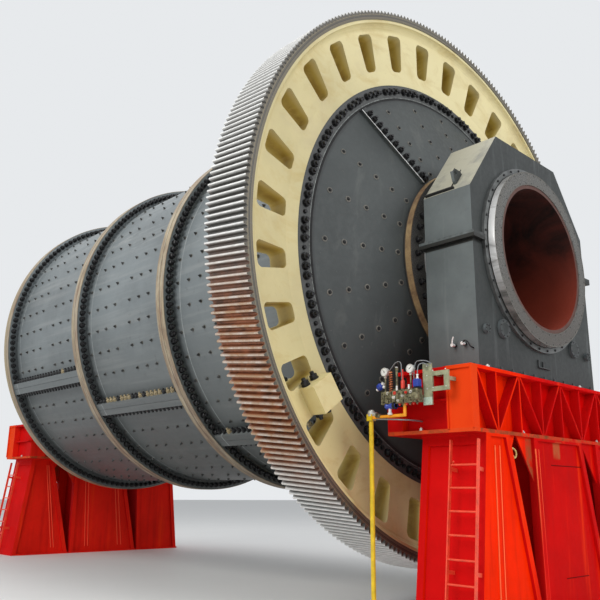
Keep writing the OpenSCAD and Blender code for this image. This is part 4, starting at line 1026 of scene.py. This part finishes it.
def addDials(v):
    # white faces with tick marks and a needle behind a thin bezel
    r = v["radius"]
    face = knob([(r * 0.90, -0.004), (r * 0.90, 0.0015)], 40)
    bezel = lathe([(r * 0.88, -0.004), (r * 1.04, -0.012), (r * 1.05, 0.004), (r * 0.97, 0.009),
                   (r * 0.88, 0.004)], 40)
    neck = prism(6, 0.016, r * 0.95, r + 0.030, math.pi / 6)
    faces, bezels, marks = [], [], []
    for x, needle in zip(v["x"], v["needles"]):
        at = place((x, v["front"], v["z"]), nearSide, lengthwise)
        faces.append(placed(face, [at]))
        bezels += [placed(bezel, [at]), setAt(neck, (x, pipeY, v["z"]), (0, 0, -1))]
        for i in range(v["ticks"]):
            long = 0.010 if i % 5 == 0 else 0.006
            tick = box((-0.0011, r * 0.84 - long, 0.0), (0.0011, r * 0.84, 0.0008))
            marks.append(placed(tick, [at @ spun(v["tickAngle"] * (10 - i), 0.0016)]))
        for shape in (box((-0.0026, -r * 0.28, 0.0), (0.0026, r * 0.66, 0.0012)),
                      prism(16, 0.007, 0.0, 0.004, top=0.006)):
            marks.append(placed(shape, [at @ spun(needle, 0.0022)]))
    addPiece("dial_faces", "base", whitePaint, faces)
    addPiece("dial_bezels", "base", paleMetal, bezels)
    addPiece("dial_marks", "base", blackNut, marks)


valves = {"tilted": (6.070, -2.735, 3.108), "tilt": (0.112, 0.0, 0.090),
          "box": ((6.690, 3.040), (6.776, 3.156)), "round": (6.205, -2.775, 2.812),
          "nipple": (6.262, -2.76, 2.695), "capOnBox": (6.730, pipeY, 3.150)}


def addValves(v):
    # blue valves: a tilted one on the first gauge pipe, a box on the manifold, a round one on the feed pipe
    y = pipeY
    (x0, z0), (x1, z1) = v["box"]
    tilted = place(v["tilted"], v["tilt"], nearSide)
    fin = box((-0.004, 0.034, -0.026), (0.004, 0.054, 0.022), 0.002)
    side = place(v["round"], lengthwise, upright)
    blue = [placed(knob([(0.030, -0.050), (0.034, -0.046), (0.040, -0.030), (0.046, -0.024), (0.046, 0.020),
                         (0.036, 0.028), (0.032, 0.048)], 24, 0.002), [tilted]),
            placed(fin, [tilted @ spun(k * 60.0) for k in range(6)]),
            box((x0, y - 0.056, z0), (x1, y + 0.040, z1), 0.012)]
    blue += [box((x, y - 0.061, z0 + 0.016), (x + 0.010, y - 0.054, z1 - 0.014), 0.002)
             for x in (x0 + 0.006 + 0.021 * k for k in range(4))]
    blue += [placed(knob([(0.036, 0.0), (0.040, 0.006), (0.040, 0.030), (0.033, 0.040), (0.033, 0.090),
                          (0.042, 0.098), (0.042, 0.132)], 28, 0.002), [side]),
             placed(lathe([(0.034, 0.172), (0.040, 0.172), (0.040, 0.182), (0.034, 0.182)], 28), [side])]
    pale = [placed(lathe([(nearAxis, 0.046), (0.022, 0.048), (0.027, 0.060), (0.024, 0.076),
                          (nearAxis, 0.080)], 20), [tilted]),
            placed(lathe([(nearAxis, -0.080), (0.020, -0.076), (0.025, -0.062), (0.020, -0.048),
                          (nearAxis, -0.046)], 20), [tilted]),
            tube([(6.10, y, 3.10), (6.13, y, 3.101), (6.165, y, 3.10)], 0.014, 12, 3),
            setAt(prism(6, 0.024, 0.0, 0.022), (6.128, y, 3.10), lengthwise, upright),
            setAt(knob([(0.020, 0.0), (0.020, 0.020), (0.012, 0.028), (0.012, 0.052), (0.017, 0.056),
                        (0.017, 0.072)], 20, 0.002), v["capOnBox"]),
            setAt(knob([(0.034, 0.0), (0.036, 0.020), (0.022, 0.036), (0.020, 0.110),
                        (0.028, 0.118)], 24, 0.002), v["nipple"])]
    dark = [box((x0 - 0.008, y - 0.060, z0 - 0.024), (x1 + 0.008, y + 0.046, z0 + 0.001), 0.005),
            placed(lathe([(0.024, 0.132), (0.046, 0.132), (0.050, 0.138), (0.050, 0.172), (0.044, 0.178),
                          (0.024, 0.178)], 28), [side])]
    bodies = addPiece("valve_bodies", "base", materials["valve_blue"], blue)
    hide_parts("lube_valves")
    addPiece("valve_ends", "base", whitePaint, pale)
    addPiece("valve_rings", "base", blackNut, dark)


manifold = {"low": (6.13, -2.79, 2.84), "high": (6.77, -2.67, 3.02), "rows": (0.035, 0.090, 0.145),
            "columns": 9, "pitch": 0.068, "topCount": 8, "topPitch": 0.075, "footCount": 6, "footPitch": 0.06,
            "clearOf": (6.165, 6.373, 6.482, 6.620, 6.730)}


def addManifoldFittings(v):
    # elbows, plugs and nipples over the manifold's front and top, in a fixed random order
    (x0, y0, z0), (x1, z1) = v["low"], v["high"][::2]
    olive, pale, red = [], [], []
    plug = merged([prism(6, 0.020, -0.004, 0.016), prism(12, 0.012, 0.014, 0.034, top=0.010)])
    block = box((-0.026, -0.022, -0.004), (0.026, 0.022, 0.030), 0.006)
    ring = lathe([(0.010, -0.004), (0.024, -0.004), (0.024, 0.012), (0.018, 0.018), (0.010, 0.018)], 18)
    for up in v["rows"]:
        for i in range(v["columns"]):
            x = x0 + 0.045 + v["pitch"] * i + random.uniform(-0.012, 0.012)
            spot = (x, y0, z0 + up + random.uniform(-0.008, 0.008))
            pick = random.random()
            shape = plug if pick < 0.4 else block if pick < 0.75 else ring
            tint = random.random()
            (red if tint < 0.10 else pale if tint < 0.24 else olive).append(setAt(shape, spot, nearSide))
    for i in range(v["topCount"]):
        x = x0 + 0.05 + v["topPitch"] * i + random.uniform(-0.01, 0.01)
        if min(abs(x - q) for q in v["clearOf"]) > 0.035:
            olive.append(setAt(plug, (x, pipeY, z1)))
    for i in range(v["footCount"]):
        x = x0 + 0.30 + v["footPitch"] * i
        (olive if i % 2 else red).append(setAt(plug, (x, pipeY - 0.02, z0), (0, 0, -1)))
    olive.append(box((x1 - 0.09, y0 - 0.04, z0 + 0.02), (x1 + 0.02, y0 + 0.01, z0 + 0.13), 0.012))
    addPiece("manifold_blocks", "base", materials["manifold_olive"], olive)
    addPiece("manifold_plugs", "base", paleMetal, pale)
    addPiece("manifold_red_plugs", "base", paintRed, red)


# paths are (X, distance behind the pipes' plane, Z); the coil is (X, radius, Z, rise and turn of a step, steps)
smallPipes = {
    "coil": (6.292, 0.024, 2.99, 0.0047, 0.9, 64), "coilTube": 0.0075,
    "coilEnds": (((6.292, -0.02, 2.95), (6.292, -0.03, 2.97)), ((6.27, -0.02, 3.31), (6.22, 0.0, 3.315))),
    "thin": 0.0070, "stout": 0.0105,
    "thinPaths": (
        ((6.222, 0.012, 3.318), (6.262, 0.012, 3.352), (6.311, 0.012, 3.402), (6.362, 0.012, 3.432),
         (6.405, 0.012, 3.435), (6.44, 0.014, 3.40), (6.446, 0.016, 3.25), (6.446, 0.018, 3.01)),
        ((6.664, 0.012, 3.20), (6.672, 0.01, 3.30), (6.693, 0.008, 3.368), (6.724, 0.006, 3.40),
         (6.776, 0.004, 3.405), (6.836, 0.03, 3.402), (6.88, 0.06, 3.385), (6.90, 0.09, 3.355)),
        ((6.664, 0.012, 3.20), (6.660, 0.012, 3.10), (6.655, 0.010, 3.01)),
        ((6.730, 0.0, 3.222), (6.742, 0.0, 3.30), (6.765, 0.004, 3.352), (6.82, 0.03, 3.368),
         (6.88, 0.07, 3.33))),
    "stoutPath": ((5.925, -0.005, 2.645), (6.02, -0.008, 2.648), (6.25, -0.004, 2.634), (6.44, 0.03, 2.620),
                  (6.50, 0.14, 2.618), (6.505, 0.385, 2.618)),
    "screws": ((6.83, 3.33), (6.83, 3.20), (6.83, 3.02), (6.93, 3.262), (7.14, 3.262), (6.93, 3.03),
               (7.14, 3.03))}


def addSmallPipes(v):
    # coil, sight tubes, thin bent pipes, and the valve on top of the riser
    def behind(path):
        return [(x, pipeY + back, z) for x, back, z in path]

    y = pipeY
    x0, r, z0, rise, turn, count = v["coil"]
    coil = [(x0 + r * math.cos(turn * k), y - 0.035 + r * math.sin(turn * k), z0 + rise * k)
            for k in range(count)]
    start, end = (behind(path) for path in v["coilEnds"])
    size = v["coilTube"]
    addPiece("copper_coil", "base", copper,
             [tube(coil, size, 8, 2), tube(start + coil[:1], size, 8, 3), tube(coil[-1:] + end, size, 8, 3)])
    sight = knob([(0.015, 0.0), (0.015, 0.072), (0.010, 0.078)], 16)
    white = [setAt(sight, (x, y - 0.045, manifold["high"][2] - 0.012)) for x in (6.405, 6.617)]
    white.append(setAt(knob([(0.019, 0.0), (0.019, 0.012)], 16, 0.002), (6.373, y, 3.349)))
    addPiece("white_tubes", "base", whitePaint, white)
    guard = knob([(0.030, 0.0), (0.030, 0.10), (0.024, 0.112), (0.012, 0.125), (0.009, 0.27)], 20, 0.002)
    addPiece("red_flow_guard", "base", paintRed,
             [setAt(guard, (6.482, y - 0.004, 3.045)),
              box((6.462, y - 0.030, 3.050), (6.502, y - 0.022, 3.148), 0.003)])
    addPiece("thin_pipes", "base", greyPipe,
             [tube(behind(path), v["thin"]) for path in v["thinPaths"]] +
             [tube(behind(v["stoutPath"]), v["stout"])])
    body = knob([(0.038, -0.060), (0.040, -0.044), (0.052, -0.036), (0.055, 0.0), (0.050, 0.034),
                 (0.034, 0.050), (0.024, 0.056)], 28, 0.002)
    neck = knob([(0.036, 0.0), (0.036, 0.060)], 24)
    addPiece("riser_valve", "base", materials["dial_white"],
             [setAt(body, (5.893, y, 2.735)), setAt(neck, (5.930, y, 2.717), lengthwise, upright)])
    addPiece("riser_fittings", "base", materials["manifold_olive"],
             [setAt(prism(8, 0.040, 0.0, 0.030), (5.985, y, 2.700), lengthwise, upright),
              setAt(prism(6, 0.034, 0.0, 0.050), (6.020, y, 2.690), lengthwise, upright),
              setAt(prism(8, 0.044, 0.0, 0.026), (5.887, y, 2.628))])
    addPiece("mast_foot", "base", paleGreen,
             [box((6.758, y + 0.078, 2.798), (6.906, y + 0.090, 2.905), 0.004)] +
             [setAt(prism(6, 0.012, 0.0, 0.010), (x, y + 0.078, 2.83), nearSide) for x in (6.79, 6.87)])
    addPiece("board_screws", "base", paleMetal,
             [setAt(prism(6, 0.010, 0.0, 0.008), (x, y + 0.086, z), nearSide) for x, z in v["screws"]])


addDials(dials)
addValves(valves)
addManifoldFittings(manifold)
addSmallPipes(smallPipes)
print("lubrication pieces added")

view = {"place": (12.792, -10.760, 1.620), "yaw": 136.34, "pitch": 14.88, "roll": 0.64, "lens": 43.64}


def addCamera(v):
    yaw, pitch, roll = (math.radians(v[k]) for k in ("yaw", "pitch", "roll"))
    ahead = Vector((math.cos(pitch) * math.cos(yaw), math.cos(pitch) * math.sin(yaw), math.sin(pitch)))
    level = Vector((math.sin(yaw), -math.cos(yaw), 0.0))
    up = level.cross(ahead)
    right = level * math.cos(roll) + up * math.sin(roll)
    up = up * math.cos(roll) - level * math.sin(roll)
    data = bpy.data.cameras.new("camera")
    data.lens = v["lens"]
    data.sensor_width = 36.0
    data.clip_end = 400.0
    camera = bpy.data.objects.new("camera", data)
    camera.matrix_world = Matrix.Translation(v["place"]) @ Matrix((right, up, -ahead)).transposed().to_4x4()
    bpy.context.scene.collection.objects.link(camera)
    bpy.context.scene.camera = camera


# name: location, target, size, power, colour
lamps = {"key": ((4.0, -24.0, 20.0), (0.0, 0.0, 5.0), 16.0, 4800.0, (1.0, 0.98, 0.95)),
         "top": ((2.0, 4.0, 26.0), (0.0, 0.0, 5.0), 18.0, 2800.0, (1.0, 1.0, 1.0)),
         "end": ((28.0, 2.0, 14.0), (6.0, 0.0, 4.0), 14.0, 2500.0, (0.97, 0.98, 1.0))}


def addLamps(v):
    for name, (location, target, size, power, color) in v.items():
        data = bpy.data.lights.new(name, "AREA")
        data.shape = "SQUARE"
        data.size = size
        data.energy = power
        data.color = color
        lamp = bpy.data.objects.new(name, data)
        lamp.location = location
        lamp.rotation_euler = (Vector(target) - Vector(location)).to_track_quat("-Z", "Y").to_euler()
        bpy.context.scene.collection.objects.link(lamp)


studio = {"strength": 0.55, "light": (0.93, 0.96, 1.0), "seen": (0.80, 0.82, 0.84), "floorSize": 120.0,
          "floorZ": -0.001, "floorColors": ((0.68, 0.68, 0.67), (0.72, 0.72, 0.71))}


def addWorld(v):
    # soft light all round; the camera and reflections see a plain pale backdrop
    world = bpy.data.worlds.new("studio")
    bpy.context.scene.world = world
    world.use_nodes = True
    tree = world.node_tree
    light = tree.nodes["Background"]
    light.inputs["Color"].default_value = (*v["light"], 1.0)
    light.inputs["Strength"].default_value = v["strength"]
    shown = tree.nodes.new("ShaderNodeBackground")
    shown.inputs["Color"].default_value = (*v["seen"], 1.0)
    paths = tree.nodes.new("ShaderNodeLightPath")
    seen = paths.outputs["Is Camera Ray"]
    for ray in ("Is Glossy Ray", "Is Transmission Ray"):
        either = tree.nodes.new("ShaderNodeMath")
        either.operation = "MAXIMUM"
        tree.links.new(seen, either.inputs[0])
        tree.links.new(paths.outputs[ray], either.inputs[1])
        seen = either.outputs[0]
    mix = tree.nodes.new("ShaderNodeMixShader")
    for number, output in enumerate((seen, light.outputs[0], shown.outputs[0])):
        tree.links.new(output, mix.inputs[number])
    tree.links.new(mix.outputs[0], tree.nodes["World Output"].inputs[0])


def addFloor(v):
    s = Surface("floorPale")
    material = s.finish(s.mix(s.noise(0.6, 3.0, 0.5), *v["floorColors"]), 0.6)
    size, z = v["floorSize"], v["floorZ"]
    mesh = bpy.data.meshes.new("floor")
    corners = [(-size, -size, z), (size, -size, z), (size, size, z), (-size, size, z)]
    mesh.from_pydata(corners, [], [(0, 1, 2, 3)])
    mesh.materials.append(material)
    floor = bpy.data.objects.new("floor", mesh)
    bpy.context.scene.collection.objects.link(floor)


addCamera(view)
addWorld(studio)
addLamps(lamps)
addFloor(studio)
bpy.context.scene.view_settings.view_transform = "Standard"
print("camera, light and floor added")
